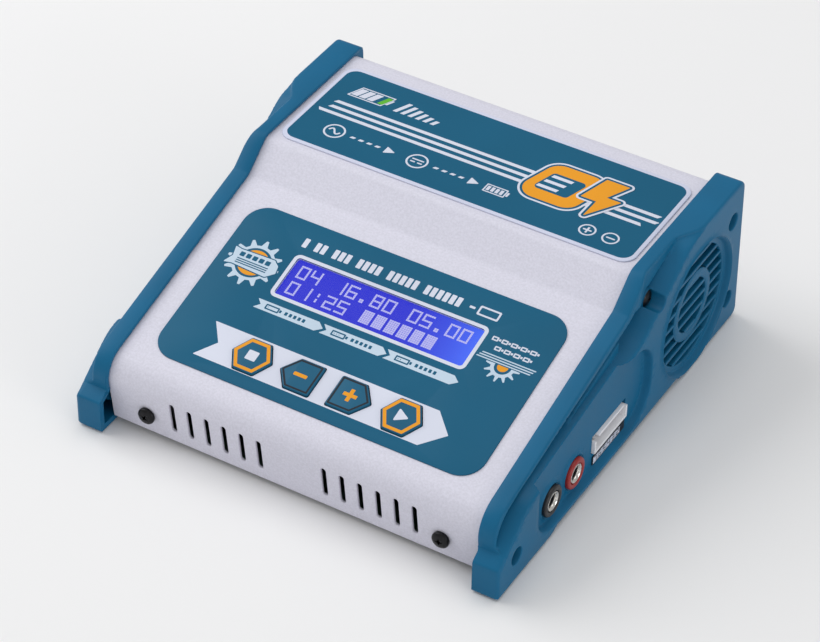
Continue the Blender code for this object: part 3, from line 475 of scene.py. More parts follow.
def base_height(spots):
    """Outer face of a panel: rail, groove, ledge, raised plate and scoop."""
    y = spots[:, 0]
    below = distance(spots, RAIL_CURVE, closed=False)
    above = -depth_in(spots, PLATE_LOOP)
    width = below + np.maximum(above, 0.0)
    steep = smooth(FRONT + 76.0, FRONT + 84.0, y)
    face = np.clip((0.22 + 0.33 * steep) * width, 0.9, 3.0 + 3.2 * steep)
    crest = RAIL_OUT - RAIL_STEP * smooth(FRONT + 80.0, FRONT + 87.0, y)
    crest += (HALF - crest) * np.where(y > FRONT + 60.0, 1.0 - smooth(0.9, 2.6, width), 0.0)
    rail = GROOVE_X + (crest - GROOVE_X) * (1.0 - smooth(face, face + 1.7 + 1.3 * steep, below))
    slope = HALF - (HALF - GROOVE_X) * smooth(-0.3, 2.5, above)
    soft = 0.5
    groove = 0.5 * (rail + slope + np.sqrt((rail - slope) ** 2 + soft ** 2)) - soft / 4
    groove = np.maximum(groove, GROOVE_X + LEDGE_RISE * smooth(-0.45, 0.45, depth_in(spots, LEDGE_LOOP)))
    seam = smooth(FRONT + 34.0, FRONT + 44.0, y) * (1.0 - smooth(FRONT + 70.0, FRONT + 72.0, y))
    groove -= SEAM_DEPTH * seam * np.exp(-((below - SEAM_PLACE) / 0.35) ** 2)
    boss = RAIL_OUT - 1.1 - (RAIL_OUT - GROOVE_X) * smooth(3.0, 3.8, radius_from(spots, *RAIL_SCREW[:2]))
    groove = np.maximum(groove, boss)
    x = np.where(above < -0.3, HALF, np.minimum(groove, HALF))
    scoop = HALF - SCOOP_DEPTH * smooth(0.0, SCOOP_WALL, depth_in(spots, SCOOP_LOOP))
    return np.minimum(x, scoop) - round_drop(depth_in(spots, OUTLINE_LOOP), EDGE)


def radius_from(spots, y, z):
    return np.hypot(spots[:, 0] - y, spots[:, 1] - z)


def inner_face(spots, outer):
    """Inner face of a panel: a wall's thickness behind the outer one, deeper at rims and bosses."""
    depth = depth_in(spots, OUTLINE_LOOP)
    x = np.maximum(outer - WALL, PANEL_IN)
    x = np.where((depth < WALL + 0.05) | (spots[:, 0] > BACK_Y - 4.0), LIP_IN, x)
    over_cover = (distance(spots, RAIL_CURVE, closed=False) < 1.1) & (spots[:, 0] > RAIL_FRONT[0])
    x = np.where(over_cover, RAIL_IN + round_drop(depth, 0.3), x)
    for y, z, _ in PANEL_SCREWS:
        x = np.where(radius_from(spots, y, z) < 4.0, np.minimum(x, HALF - 7.0), x)
    return np.where(radius_from(spots, *RAIL_SCREW[:2]) < 4.0, PANEL_IN + 0.2, x)


def panel_mesh(side, relief, rings, openings):
    """One moulding: side is 1 for the right, -1 for the left; relief adds to the outer face."""
    around = [circle(y, z, bore + more, 28) for y, z, bore in BORES for more in (0.0, 0.12, 0.35, 0.8)]
    lines, dots = panel_lines(around + rings)

    def keep(spots):
        kept = inside(spots, OUTLINE_LOOP)
        for y, z, bore in BORES:
            kept &= radius_from(spots, y, z) > bore - 0.02
        for opening in openings:
            kept &= ~inside(spots, opening)
        return kept

    def top(spots):
        x = base_height(spots) + relief(spots)
        for y, z, bore in BORES:
            x = x - round_drop(radius_from(spots, y, z) - bore, 0.35)
        return x

    def place(spots, height):
        return np.stack([side * height, spots[:, 0], spots[:, 1]], axis=1)

    return field_mesh(lines, keep, top, lambda s: inner_face(s, top(s)), place, flip=side < 0, sharp=50.0,
                      dots=dots)


SOCKET_Y, SOCKET_Z, SOCKET_BORE = (-41.2, -27.6), 10.9, 4.3
PINS = 7                        # pins of the balance port
GAP = 0.3


def mouth(node):
    """Outline of a panel opening around a connector."""
    low, high = millimetres(node)
    return fillet(rectangle(low.y - GAP, high.y + GAP, low.z - GAP, high.z + GAP, 0.4))


def bump(value, low, high):
    """A rounded ridge between two limits."""
    t = np.clip((value - low) / (high - low), 0.0, 1.0)
    return np.sin(np.pi * t) ** 2


def right_relief(spots):
    """Dished ring of the fan grille and raised lips around the sockets."""
    radius = radius_from(spots, FAN_Y, FAN_Z)
    x = 0.55 * bump(radius, GRILLE_RING, GRILLE_RING + 1.2)
    x = x - GRILLE_DISH * (1.0 - smooth(GRILLE_RING - 0.8, GRILLE_RING + 0.2, radius))
    x = x - round_drop(radius - GRILLE_RADIUS, 0.4)
    for y in SOCKET_Y:
        x = x + 0.55 * bump(radius_from(spots, y, SOCKET_Z), 5.05, 6.35)
    return x


def make_grille():
    """Hub ring and level slats, set back behind the dished ring."""
    face = HALF - GRILLE_DISH
    low, high = HUB_RING
    profile = [(-2.2, low), (-2.2, high), (-0.3, high), (-0.05, high - 0.3), (-0.05, low + 0.3), (-0.3, low)]
    parts = [lathe_mesh(profile, (face, FAN_Y, FAN_Z), ring=True, count=64)]
    rows = int(GRILLE_RADIUS / SLAT_PITCH)
    for k in range(-rows, rows + 1):
        z = k * SLAT_PITCH
        reach, outer, inner = [math.sqrt(max(radius ** 2 - z ** 2, 0.0))
                               for radius in (GRILLE_RADIUS + 0.25, high - 0.2, low + 0.2)]
        stops = [-reach] + [stop for stop in (-outer, -inner, inner, outer) if stop] + [reach]
        section = rectangle(FAN_Z + z - SLAT / 2, FAN_Z + z + SLAT / 2, face - 2.0, face - 0.2, 0.35)
        for start, end in zip(stops[::2], stops[1::2]):
            parts.append(plate_mesh(section, [], FAN_Y + start, FAN_Y + end,
                                    lambda s, h: np.stack([s[:, 1], h, s[:, 0]], axis=1)))
    return parts


def make_right_panel():
    rings = [circle(FAN_Y, FAN_Z, radius, 96) for radius in (
        23.1, 22.75, 22.45, 22.15, 21.85, 21.6, 21.4, 21.2, 21.0, 20.4, 19.9, 19.65, GRILLE_RADIUS)]
    for y in SOCKET_Y:
        rings += [circle(y, SOCKET_Z, radius, 40) for radius in (SOCKET_BORE, 5.05, 5.35, 5.7, 6.0, 6.35)]
    port = mouth("balance_port")
    openings = [circle(FAN_Y, FAN_Z, GRILLE_RADIUS, 96), port]
    openings += [circle(y, SOCKET_Z, SOCKET_BORE, 40) for y in SOCKET_Y]
    shell = panel_mesh(1, right_relief, rings + [port], openings)
    add_piece("right_panel_moulding", joined([shell] + make_grille(), 50.0), "blue_plastic",
              node="right_panel")


def make_left_panel():
    low, high = millimetres("dc_jack")
    jack = circle((low.y + high.y) / 2, (low.z + high.z) / 2, (high.y - low.y) / 2 + GAP, 40)
    openings = [mouth("mains_inlet"), mouth("sensor_port"), jack]
    add_piece("left_panel_moulding", panel_mesh(-1, everywhere(0.0), openings, openings), "blue_plastic",
              node="left_panel")


# ---------------------------------------------------------------- cover
WINDOW = (-31.5, 31.75, 33.1, 47.4)
KEY_ROW = 10.5
KEY_X = {"key_stop": -24.7, "key_down": -8.3, "key_up": 8.3, "key_start": 25.2}


def key_shape(name, grow=0.0):
    """Corners of a key: a hexagon at each end of the row, arrows in the middle."""
    if name in ("key_stop", "key_start"):
        radius = 6.6 + grow * 1.15
        return [(KEY_X[name] + radius * math.cos(math.pi / 3 * k),
                 KEY_ROW + radius * math.sin(math.pi / 3 * k), 0.7) for k in range(6)]
    direction = -1 if name == "key_down" else 1
    flat, corner, tip, half = 2.9, 11.0, 15.0, 5.4
    points = [(flat - grow, -half - grow), (corner + grow * 0.5, -half - grow), (tip + grow * 1.3, 0.0),
              (corner + grow * 0.5, half + grow), (flat - grow, half + grow)]
    shape = [(direction * u, KEY_ROW + v, 0.7) for u, v in points]
    return shape if direction > 0 else shape[::-1]


def deck_holes():
    """Outlines of the openings in the lower deck, for the display and the keys."""
    return [rectangle(*WINDOW, 1.0)] + [key_shape(name, GAP) for name in KEY_X]


def make_cover():
    """The folded sheet, laid out flat along its profile, cut, and folded over its bends."""
    corners = sheet_corners()
    faces = [as_array(fillet(line, closed=False, step=6.0)) for line in (corners, shifted(corners, -SHEET))]
    outer = faces[0]
    lengths = np.concatenate([[0.0], np.cumsum(np.hypot(*np.diff(outer, axis=0).T))])
    total = lengths[-1]
    lean = math.hypot(1.0, WALL_LEAN)
    on_line = np.argmin(np.abs(outer[:, 0] - deck_point(5.0)[0]))
    deck_start = lengths[on_line] - (outer[on_line, 0] - DECK_START[0]) / math.cos(DECK_TILT)

    def place(spots, height):
        first, second = [np.stack([np.interp(spots[:, 1], lengths, face[:, k]) for k in (0, 1)], axis=1)
                         for face in faces]
        both = first + (second - first) * (-height / SHEET)[:, None]
        return np.concatenate([spots[:, :1], both], axis=1)

    slots, holes = [], []
    for side in (-1, 1):
        for k in range(SLOT_COUNT):
            x = side * (SLOT_FIRST + k * SLOT_PITCH)
            for low, high in ([(z - FOOT) * lean for z in SLOT_Z], [total - (z - FOOT) for z in BACK_SLOT_Z]):
                slots.append(rectangle(x - SLOT_WIDTH / 2, x + SLOT_WIDTH / 2, low, high, SLOT_WIDTH * 0.499))
        holes += [circle(side * SCREW_X, along, 1.6, 20)
                  for along in ((SCREW_Z - FOOT) * lean, total - (SCREW_Z - FOOT))]
    holes += [fillet([(x, deck_start + u, r) for x, u, r in hole]) for hole in deck_holes()]
    lips = [fillet(slot) for slot in slots]
    edge = fillet(rectangle(-COVER_HALF, COVER_HALF, 0.0, total))
    lines = [(line, True) for line in [edge] + lips + holes]
    lines += [(fillet(grown(slot, part)), True) for part in (0.08, 0.25, 0.5) for slot in slots]
    lines += [([Vector((-COVER_HALF, s)), Vector((COVER_HALF, s))], False) for s in lengths[1:-1]]

    def top(spots):
        reach = np.min([distance(spots, line) for line in lips], axis=0)
        return -0.7 * round_drop(reach, 0.5)

    cover = field_mesh(lines, between([edge] + lips + holes), top, everywhere(-SHEET), place, sharp=45.0)
    add_piece("folded_cover", cover, "sheet_paint", node="top_cover")


# ---------------------------------------------------------------- films and keys
FILM_LOW = 0.1
LABEL_HALF, LABEL_LENGTH, LABEL_RADIUS = 54.2, 60.4, 7.5
KEY_TOP = FILM_TOP + 0.75
PRINT = 0.02                    # thickness of one layer of ink
FRAME = 1.15                    # width of the white frame around the display


def make_overlay():
    outline = rectangle(-LABEL_HALF, LABEL_HALF, 0.0, LABEL_LENGTH, LABEL_RADIUS)
    mesh = plate_mesh(outline, deck_holes(), FILM_LOW, FILM_TOP, on_deck, edge=0.15)
    add_piece("overlay_film", mesh, "blue_film", node="keypad_overlay")


def make_window():
    x0, x1, u0, u1 = WINDOW
    pane = rectangle(x0 + 0.1, x1 - 0.1, u0 + 0.1, u1 - 0.1, 0.9)
    mesh = plate_mesh(pane, [], FILM_TOP - 0.35, FILM_TOP - 0.08, on_deck, edge=0.08)
    add_piece("window_pane", mesh, "clear_plastic", node="display_window")


def make_keys():
    """Caps with soft upper edges, each with a printed border and a symbol."""
    for name, x in KEY_X.items():
        outline = key_shape(name)
        cap = plate_mesh(outline, [], -1.0, KEY_TOP, on_deck, edge=0.4)
        add_piece(name + "_cap", cap, "key_plastic", name, node=name)
        on_key = partial(ink, base=KEY_TOP, body=name)
        hexagonal = name in ("key_stop", "key_start")
        ring = [grown(outline, -0.42), grown(outline, -1.45 if hexagonal else -1.0)]
        on_key(name + "_border", ring, "orange_ink" if hexagonal else "dark_ink")
        symbols = {
            "key_stop": rectangle(x - 1.7, x + 1.7, KEY_ROW - 1.7, KEY_ROW + 1.7, 0.3),
            "key_down": rectangle(x - 2.2, x + 2.2, KEY_ROW - 0.6, KEY_ROW + 0.6, 0.3),
            "key_up": cross(x, KEY_ROW, 2.2, 0.6),
            "key_start": [(x - 1.6, KEY_ROW - 2.3, 0.3), (x + 2.4, KEY_ROW, 0.3),
                          (x - 1.6, KEY_ROW + 2.3, 0.3)],
        }
        on_key(name + "_symbol", [symbols[name]], "white_ink" if hexagonal else "orange_ink")


def make_upper_label():
    low, high = FRONT + 87.4, FRONT + 130.0
    mesh = plate_mesh(rectangle(-60.0, 60.0, low, high, 4.5), [], FILM_LOW, FILM_TOP, on_upper, edge=0.15)
    add_piece("upper_film", mesh, "pale_film", node="top_label")
    label_ink("upper_field", [rectangle(-58.7, 58.7, low + 1.3, high - 1.3, 3.6)], "blue_film")


# ---------------------------------------------------------------- ink
def ink(name, loops, finish, level=0, base=FILM_TOP, place=on_deck, body="housing"):
    """One printed layer: what lies within an odd number of the outlines."""
    loops = [fillet(loop) for loop in loops]
    low = base + level * PRINT
    mesh = field_mesh([(loop, True) for loop in loops], between(loops), everywhere(low + PRINT),
                      everywhere(low - PRINT / 2), place)
    add_piece(name, mesh, finish, body)


label_ink = partial(ink, place=on_upper)


def cross(x, y, arm, half):
    return [(x - half, y - arm), (x + half, y - arm), (x + half, y - half), (x + arm, y - half),
            (x + arm, y + half), (x + half, y + half), (x + half, y + arm), (x - half, y + arm),
            (x - half, y + half), (x - arm, y + half), (x - arm, y - half), (x - half, y - half)]


def ribbon(x0, x1, y0, y1, notch, point, radius=0.15):
    """A band with a notch cut in its left end and a point at its right end."""
    middle = (y0 + y1) / 2
    return [(x0, y0, radius), (x1 - point, y0, radius), (x1, middle, radius), (x1 - point, y1, radius),
            (x0, y1, radius), (x0 + notch, middle, radius)]


def slanted(x0, x1, y0, y1, lean, radius=0.1):
    """A bar whose ends lean to the right."""
    return [(x0, y0, radius), (x1, y0, radius), (x1 + lean, y1, radius), (x0 + lean, y1, radius)]


def gear(x, y, root, tip, teeth):
    """Outline of a toothed wheel with pointed teeth."""
    out = []
    for k in range(teeth):
        for part, radius in ((-0.30, root), (-0.08, tip), (0.08, tip), (0.30, root)):
            turn = 2 * math.pi * (k + part) / teeth
            out.append((x + radius * math.cos(turn), y + radius * math.sin(turn), 0.1))
    return out


def battery(x, y, length, height, bars, lean=0.0):
    """Loops of a small battery symbol: case, hollow, cap and charge bars."""
    case = slanted(x, x + length, y, y + height, lean, 0.25)
    loops = [case, grown(case, -0.45)]
    nub = height * 0.25
    loops.append(slanted(x + length + 0.15 + lean * 0.25, x + length + 0.85 + lean * 0.25, y + nub,
                         y + height - nub, lean * 0.5))
    step = (length - 1.3) / 4
    for k in range(bars):
        left = x + 0.75 + k * step + lean * 0.12
        loops.append(slanted(left, left + step - 0.45, y + 0.85, y + height - 0.85,
                             lean * (height - 1.7) / height))
    return loops


def bolt(x, y, size):
    """A lightning bolt, leaning to the right."""
    points = [(-0.10, -1.0), (0.62, 0.18), (0.12, 0.18), (0.50, 1.0), (-0.30, 1.0), (-0.62, -0.16),
              (-0.08, -0.16)]
    return [(x + u * size, y + v * size, 0.15) for u, v in points]


def wave(x, y, length, height, half, count=24):
    """One period of a sine wave as a stroke."""
    upper, lower = [], []
    for k in range(count + 1):
        part = k / count
        centre = Vector((x + length * part, y + height * math.sin(2 * math.pi * part)))
        slope = Vector((length, height * 2 * math.pi * math.cos(2 * math.pi * part))).normalized()
        normal = Vector((-slope.y, slope.x)) * half
        upper.append(centre + normal)
        lower.append(centre - normal)
    return lower + upper[::-1]


def make_deck_print():
    """Printing of the keypad overlay: ribbons, frame of the display, symbols."""
    x0, x1, u0, u1 = WINDOW
    white = [ribbon(-41.4, 40.2, 4.25, 17.15, 4.8, 6.4),
             rectangle(x0 - FRAME, x1 + FRAME, u0 - FRAME, u1 + FRAME, 2.0)]
    ink("deck_white_print", white + deck_holes(), "white_ink")
    strips, marks = [], []
    for start, tip, bars in ((-34.4, -11.4, 1), (-11.9, 10.0, 3), (9.5, 33.7, 2)):
        strips.append(ribbon(start, tip, 26.2, 29.6, 1.7, 2.1, 0.1))
        marks += battery(start + 3.4, 26.95, 4.6, 1.9, bars)
        left = start + 10.0
        marks += [rectangle(left + 1.5 * k, left + 1.5 * k + 0.9, 27.3, 28.5, 0.1) for k in range(5)]
    ink("deck_strips", strips, "pale_ink")
    ink("strip_marks", marks, "ink_blue", 1)
    make_title(-33.0, 51.2, 54.6)
    make_badge(-42.8, 40.0)
    make_sun(42.6, 39.1)


def make_title(x, low, high):
    """Growing groups of blocks that end in a battery, and two rows of small batteries."""
    title = []
    for cells in range(1, 7):
        title += [rectangle(x + 2.1 * k, x + 2.1 * k + 1.55, low, high, 0.25) for k in range(cells)]
        x += 2.1 * cells + 2.0
    title += [rectangle(x + 0.3, x + 2.1, low + 1.3, low + 2.1, 0.2),
              rectangle(x + 3.2, x + 10.2, low, high, 0.5),
              rectangle(x + 3.8, x + 9.6, low + 0.6, high - 0.6, 0.3)]
    for left, bottom, count in ((34.8, 45.1, 5), (37.1, 42.2, 4)):
        for k in range(count):
            title += battery(left + 3.1 * k, bottom, 2.0, 1.5, 0)
    ink("deck_title_print", title, "white_ink")


def make_badge(x, y):
    """Toothed wheel behind a banner."""
    ink("badge_wheel", [gear(x, y, 6.5, 8.6, 12), circle(x, y, 5.5, 40)], "pale_ink")
    ink("badge_hub", [circle(x, y, 4.7, 40)], "orange_ink")
    left, right, low, high = x - 8.6, x + 8.2, y - 3.2, y + 3.4
    banner = [(left, low, 0.2), (left + 2.6, low + 0.6, 0.8), (right - 2.4, low, 0.8),
              (right, low + 2.4, 0.3), (right - 0.6, high - 1.6, 0.4), (right - 2.6, high, 0.8),
              (left + 2.8, high - 0.4, 0.8), (left + 0.6, high, 0.2), (left + 1.5, y, 0.3)]
    ink("badge_gap", [grown(banner, 0.35)], "blue_film", 1)
    ink("badge_banner", [banner], "pale_ink", 2)
    marks = [rectangle(left + 3.2, right - 3.0, y - 1.9 + 0.75 * k, y - 1.55 + 0.75 * k) for k in range(3)]
    marks += [rectangle(left + 3.2 + 2.2 * k, left + 4.8 + 2.2 * k, y + 0.7, y + 2.3, 0.25) for k in range(5)]
    ink("badge_marks", marks, "ink_blue", 3)


def make_sun(x, y):
    """Half of a toothed wheel hanging below three level lines."""
    def hanging(loop, kept, level):
        return [Vector((p.x, min(p.y, y - level))) for p in loop if p.y < y - kept]

    wheel = fillet(gear(x, y - 1.2, 3.7, 5.4, 12))
    ink("sun_wheel", [hanging(wheel, 0.2, 0.9), hanging(circle(x, y - 1.2, 2.6, 40), 0.6, 0.9)], "pale_ink")
    ink("sun_core", [hanging(circle(x, y - 1.2, 1.7, 32), 0.4, 0.95)], "orange_ink")
    lines = [slanted(x - 9.2 + 0.5 * k, x + 8.2 + 0.5 * k, y - 0.6 + 0.85 * k, y - 0.2 + 0.85 * k, 0.3)
             for k in range(3)]
    ink("sun_lines", lines, "pale_ink")


def make_upper_print():
    """Printing of the upper label: three stripes, a large symbol and small ones."""
    stripes = []
    for k, (left, right) in enumerate(((-56.0, 54.4), (-54.6, 57.4), (-54.4, 56.8))):
        y = FRONT + 105.0 + 2.95 * k
        stripes.append(slanted(left, right, y, y + 1.35, 1.0 if k else -0.8))
    label_ink("label_stripes", stripes, "white_ink", 1)
    y = FRONT + 116.2
    mark = battery(-53.0, y, 12.0, 5.8, 3, 2.6)
    mark += [slanted(-36.6 + 2.6 * k, -35.2 + 2.6 * k, y, y + 5.8 - 0.7 * k, 2.6 - 0.3 * k) for k in range(6)]
    label_ink("label_mark", mark, "white_ink", 1)
    label_ink("label_mark_bar", [slanted(-42.7, -40.9, y + 0.85, y + 4.95, 1.84)], "green_ink", 2)
    make_supply_symbols(FRONT + 97.9)
    make_emblem()
    y, plus, minus = FRONT + 95.3, 42.0, 49.6
    signs = [circle(x, y, radius, 32) for x in (plus, minus) for radius in (2.7, 2.15)]
    signs += [cross(plus, y, 1.4, 0.3), rectangle(minus - 1.4, minus + 1.4, y - 0.3, y + 0.3)]
    label_ink("label_signs", signs, "white_ink", 1)


def make_supply_symbols(y):
    """Alternating current turned into direct current and into charge."""
    alternating, direct = -46.0, -17.0
    loops = [circle(x, y, radius, 40) for x in (alternating, direct) for radius in (3.5, 2.9)]
    loops.append(wave(alternating - 2.0, y, 4.0, 1.1, 0.3))
    loops.append(rectangle(direct - 2.0, direct + 2.0, y + 0.4, y + 0.95))
    loops += [rectangle(x, x + 1.6, y - 0.95, y - 0.4) for x in (direct - 2.0, direct + 0.4)]
    for x in (alternating + 5.5, direct + 5.5):
        loops += [slanted(x + 2.9 * k, x + 1.5 + 2.9 * k, y - 0.45, y + 0.45, 0.5) for k in range(4)]
        loops.append([(x + 12.4, y - 1.7, 0.2), (x + 15.8, y, 0.2), (x + 12.4, y + 1.7, 0.2)])
    label_ink("label_supply_signs", loops + battery(6.4, y - 2.2, 7.2, 3.9, 4), "white_ink", 1)


def make_emblem():
    """A slanted battery case and a bolt, in orange with a double outline."""
    lean = 5.5
    low, high = FRONT + 100.6, FRONT + 119.0
    case = slanted(13.6, 33.0, low, high, lean, 5.0)
    flash = bolt(38.6, FRONT + 110.0, 9.6)
    for number, (grow, finish) in enumerate(((1.45, "white_ink"), (0.75, "blue_film"))):
        for part, shape, first in (("case", case, 2), ("flash", flash, 7)):
            label_ink(f"emblem_{part}_line_{number}", [grown(shape, grow)], finish, first + number)
    label_ink("emblem_case", [case], "orange_ink", 4)
    label_ink("emblem_hollow", [slanted(18.0, 29.5, low + 4.6, high - 4.6, lean * 0.5, 1.4)], "blue_film", 5)
    stripes = [slanted(18.8 + k, 25.6 + k, low + 5.6 + 2.95 * k, low + 6.9 + 2.95 * k, 0.4) for k in range(3)]
    label_ink("emblem_stripes", stripes, "white_ink", 6)
    label_ink("emblem_flash", [flash], "orange_ink", 9)


# ---------------------------------------------------------------- display
SEGMENTS = {"0": "abcdef", "1": "bc", "2": "abged", "3": "abgcd", "4": "fgbc", "5": "afgcd", "6": "afgedc",
            "7": "abc", "8": "abcdefg", "9": "abcdfg"}
SEGMENT_DOTS = {
    "a": [(c, 6) for c in range(5)], "g": [(c, 3) for c in range(5)], "d": [(c, 0) for c in range(5)],
    "f": [(0, r) for r in range(3, 7)], "e": [(0, r) for r in range(4)],
    "b": [(4, r) for r in range(3, 7)], "c": [(4, r) for r in range(4)],
}


def glyph(sign):
    """Dots of a sign in a cell of five by seven."""
    if sign in SEGMENTS:
        return sorted({dot for segment in SEGMENTS[sign] for dot in SEGMENT_DOTS[segment]})
    if sign == ":":
        return [(2, 1), (2, 2), (2, 4), (2, 5)]
    if sign == ".":
        return [(2, 0), (1, 0), (2, 1), (1, 1)]
    if sign == "#":
        return [(c, r) for c in range(5) for r in range(7)]
    return []


def dot_rows(rows, x, pitch, dot, cell):
    """Square loops of every lit dot of some rows of signs; each row is (text, height)."""
    loops = []
    for text, low in rows:
        for place, sign in enumerate(text):
            for column, row in glyph(sign):
                left, floor = x + place * cell + column * pitch, low + row * pitch
                loops.append([Vector(p) for p in ((left, floor), (left + dot, floor),
                                                  (left + dot, floor + dot), (left, floor + dot))])
    return loops


def dots_mesh(loops, low, high, place):
    """Many small square tiles."""
    corners = np.array([[tuple(p) for p in loop] for loop in loops], float).reshape(-1, 2)
    upper = place(corners, np.full(len(corners), high))
    lower = place(corners, np.full(len(corners), low))
    count = len(corners)
    faces = []
    for k in range(0, count, 4):
        faces.append((k, k + 1, k + 2, k + 3))
        faces.append((k + 3 + count, k + 2 + count, k + 1 + count, k + count))
        for n in range(4):
            a, b = k + n, k + (n + 1) % 4
            faces.append((b, a, a + count, b + count))
    return make_mesh(np.concatenate([upper, lower]) * MM, faces)


def make_display():
    """Lit panel that fills the window from below, with two rows of signs."""
    x0, x1, u0, u1 = WINDOW
    glass = -0.25
    panel = rectangle(x0 + 0.12, x1 - 0.12, u0 + 0.12, u1 - 0.12, 0.9)
    mesh = plate_mesh(panel, [], -SHEET - GAP - 0.95, glass, on_deck, edge=0.12)
    add_piece("display_panel", mesh, "display")
    rows = (("04 16.80 05.00", u0 + 7.9), ("01:25 ######", u0 + 1.7))
    loops = dot_rows(rows, x0 + 2.4, 0.68, 0.6, 4.2)
    add_piece("display_signs", dots_mesh(loops, glass + 0.01, glass + 0.05, on_deck), "lit_dot")


# ---------------------------------------------------------------- sockets and screws
def make_sockets():
    """Banana sockets: rounded collars around thick metal tubes, each bore lined with a black sleeve that
    stands in as painted shade.
    """
    collar = [(-9.0, 3.3), (-9.0, 4.0), (0.2, 4.0), (0.3, 5.0), (0.9, 5.0), (1.25, 4.85), (1.45, 4.5),
              (1.45, 3.75), (1.2, 3.4), (0.7, 3.3)]
    tube = [(-13.0, 0.0), (-13.0, 3.15), (1.0, 3.15), (1.25, 3.0), (1.25, 2.8), (0.9, 2.45), (0.4, 2.3),
            (-9.0, 2.3), (-9.3, 0.0)]
    # black sleeve inside each tube: painted shade for the deep hole, not a part of the socket
    painted_bore_shade = [(-9.1, 2.0), (-9.1, 2.28), (0.3, 2.28), (0.4, 2.15), (0.3, 2.0)]
    for colour, y in zip(("black", "red"), SOCKET_Y):
        node = colour + "_socket"
        turned = partial(lathe_mesh, centre=(HALF - SCOOP_DEPTH, y, SOCKET_Z))
        add_piece(node + "_collar", turned(collar, ring=True, count=56), colour + "_plastic", node=node)
        add_piece(node + "_tube", turned(tube), "bright_metal", node=node + "_contact")
        # the black sleeve is painted shade inside the bore
        add_piece(node + "_liner", turned(painted_bore_shade, ring=True, count=40), "black_plastic")


def make_port_strip():
    """Black strip below the balance port: a digit for each pin, on a light cell for all but the last."""
    low, high = millimetres("port_strip")
    low.z = SCOOP[0][1] + SCOOP_WALL + 0.05
    high.z = low.z + 3.0

    def on_side(spots, height):
        return np.stack([height, spots[:, 0], spots[:, 1]], axis=1)

    mesh = plate_mesh(rectangle(low.y, high.y, low.z, high.z, 0.15), [], low.x, high.x, on_side)
    add_piece("strip_film", mesh, "dark_ink", node="port_strip")
    pitch = (high.y - low.y - 0.4) / PINS
    cells, digits = [], []
    for k in range(PINS):
        left = low.y + 0.3 + pitch * k
        cells.append(rectangle(left + 0.1, left + pitch - 0.1, low.z + 0.3, high.z - 0.3, 0.1))
        digits += dot_rows([(str(PINS - k), low.z + 0.5)], left + 0.6, 0.3, 0.29, 4.0)
    ink("strip_cells", cells[:-1], "white_ink", base=high.x, place=on_side)
    mesh = dots_mesh(digits[:-1], high.x + PRINT, high.x + 2 * PRINT, on_side)
    add_piece("strip_digits", mesh, "dark_ink")


HEAD_RISE = 1.7                 # height of a screw's head above its seat
SCREWS = {"front": ("Y", 2.75, 7.0), "back": ("Y", 2.75, 7.0), "rail": ("X", 2.6, 6.0),
          "toe": ("X", 2.5, 4.5), "heel": ("X", 2.5, 4.5), "top": ("X", 2.5, 4.5)}


def screw_mesh(radius, length, shank=1.05):
    """Domed head with a tapered cross recess and a threaded shank, pointing along +Z from its seat."""
    dome = [(HEAD_RISE * (0.35 + 0.65 * math.sin(t)), radius * math.cos(t))
            for t in [math.radians(15 * k) for k in range(6)]]
    profile = [(0.0, 0.0), (0.0, radius * 0.98)] + dome + [(HEAD_RISE, 0.0)]
    head = link(bpy.data.objects.new("screw_head", lathe_mesh(profile, (0, 0, 0), axis="Z", count=40)))
    cutter = bmesh.new()
    for turn in (0.0, math.pi / 2):
        made = bmesh.ops.create_cone(cutter, cap_ends=True, segments=4, radius1=0.25, radius2=0.62 * radius,
                                     depth=1.5)
        spin = Matrix.Rotation(turn, 4, "Z") @ Matrix.Diagonal((1.0, 0.3, 1.0, 1.0))
        seat = Matrix.Translation((0, 0, HEAD_RISE - 0.5))
        bmesh.ops.transform(cutter, matrix=seat @ spin, verts=made["verts"])
    bmesh.ops.scale(cutter, vec=(MM, MM, MM), verts=cutter.verts)
    tool = link(bpy.data.objects.new("cross_cutter", finished(cutter)))
    step = head.modifiers.new("recess", "BOOLEAN")
    step.object = tool
    step.use_self = True
    view = bpy.context.evaluated_depsgraph_get()
    view.update()
    cut = bpy.data.meshes.new_from_object(head.evaluated_get(view), depsgraph=view)
    bpy.data.objects.remove(head)
    bpy.data.objects.remove(tool)
    thread = [(-length, 0.0), (-length, shank * 0.6)]
    turns = int(length / 0.5)
    for k in range(turns):
        low = -length + (k + 0.5) * length / turns
        thread += [(low - 0.1, shank * 0.78), (low + 0.1, shank)]
    thread += [(0.1, shank * 0.8), (0.1, 0.0)]
    return joined([cut, lathe_mesh(thread, (0, 0, 0), axis="Z", count=16)], 40.0)


def make_screws():
    """One domed screw for each screw node, seated where the node's head is."""
    for kind, (axis, radius, length) in SCREWS.items():
        for word in ("left", "right"):
            node = f"{kind}_screw_{word}"
            low, high = millimetres(node)
            seat = (low + high) / 2
            out = -1.0 if kind == "front" or (axis, word) == ("X", "left") else 1.0
            k = "XY".index(axis)
            seat[k] = high[k] - HEAD_RISE if out > 0 else low[k] + HEAD_RISE
            turn = Matrix.Rotation(out * math.pi / 2, 4, "Y") if axis == "X" else (
                Matrix.Rotation(-out * math.pi / 2, 4, "X"))
            mesh = screw_mesh(radius, length)
            spin = Matrix.Rotation(math.radians(20 + 31 * len(node)), 4, "Z")
            mesh.transform(Matrix.Translation(seat * MM) @ turn @ spin)
            add_piece(node + "_body", mesh, "black_screw", node=node)


def soften_nodes():
    """Connectors and other blocks keep their shape and get rounded edges."""
    for node, finish, width in (
            ("balance_port", "white_plastic", 0.16), ("mains_inlet", "black_plastic", 0.3),
            ("sensor_port", "white_plastic", 0.16), ("dc_jack", "black_plastic", 0.25),
            ("fan_frame", "black_plastic", 0.25)):
        add_piece(node + "_body", softened(node, width), finish, node=node)


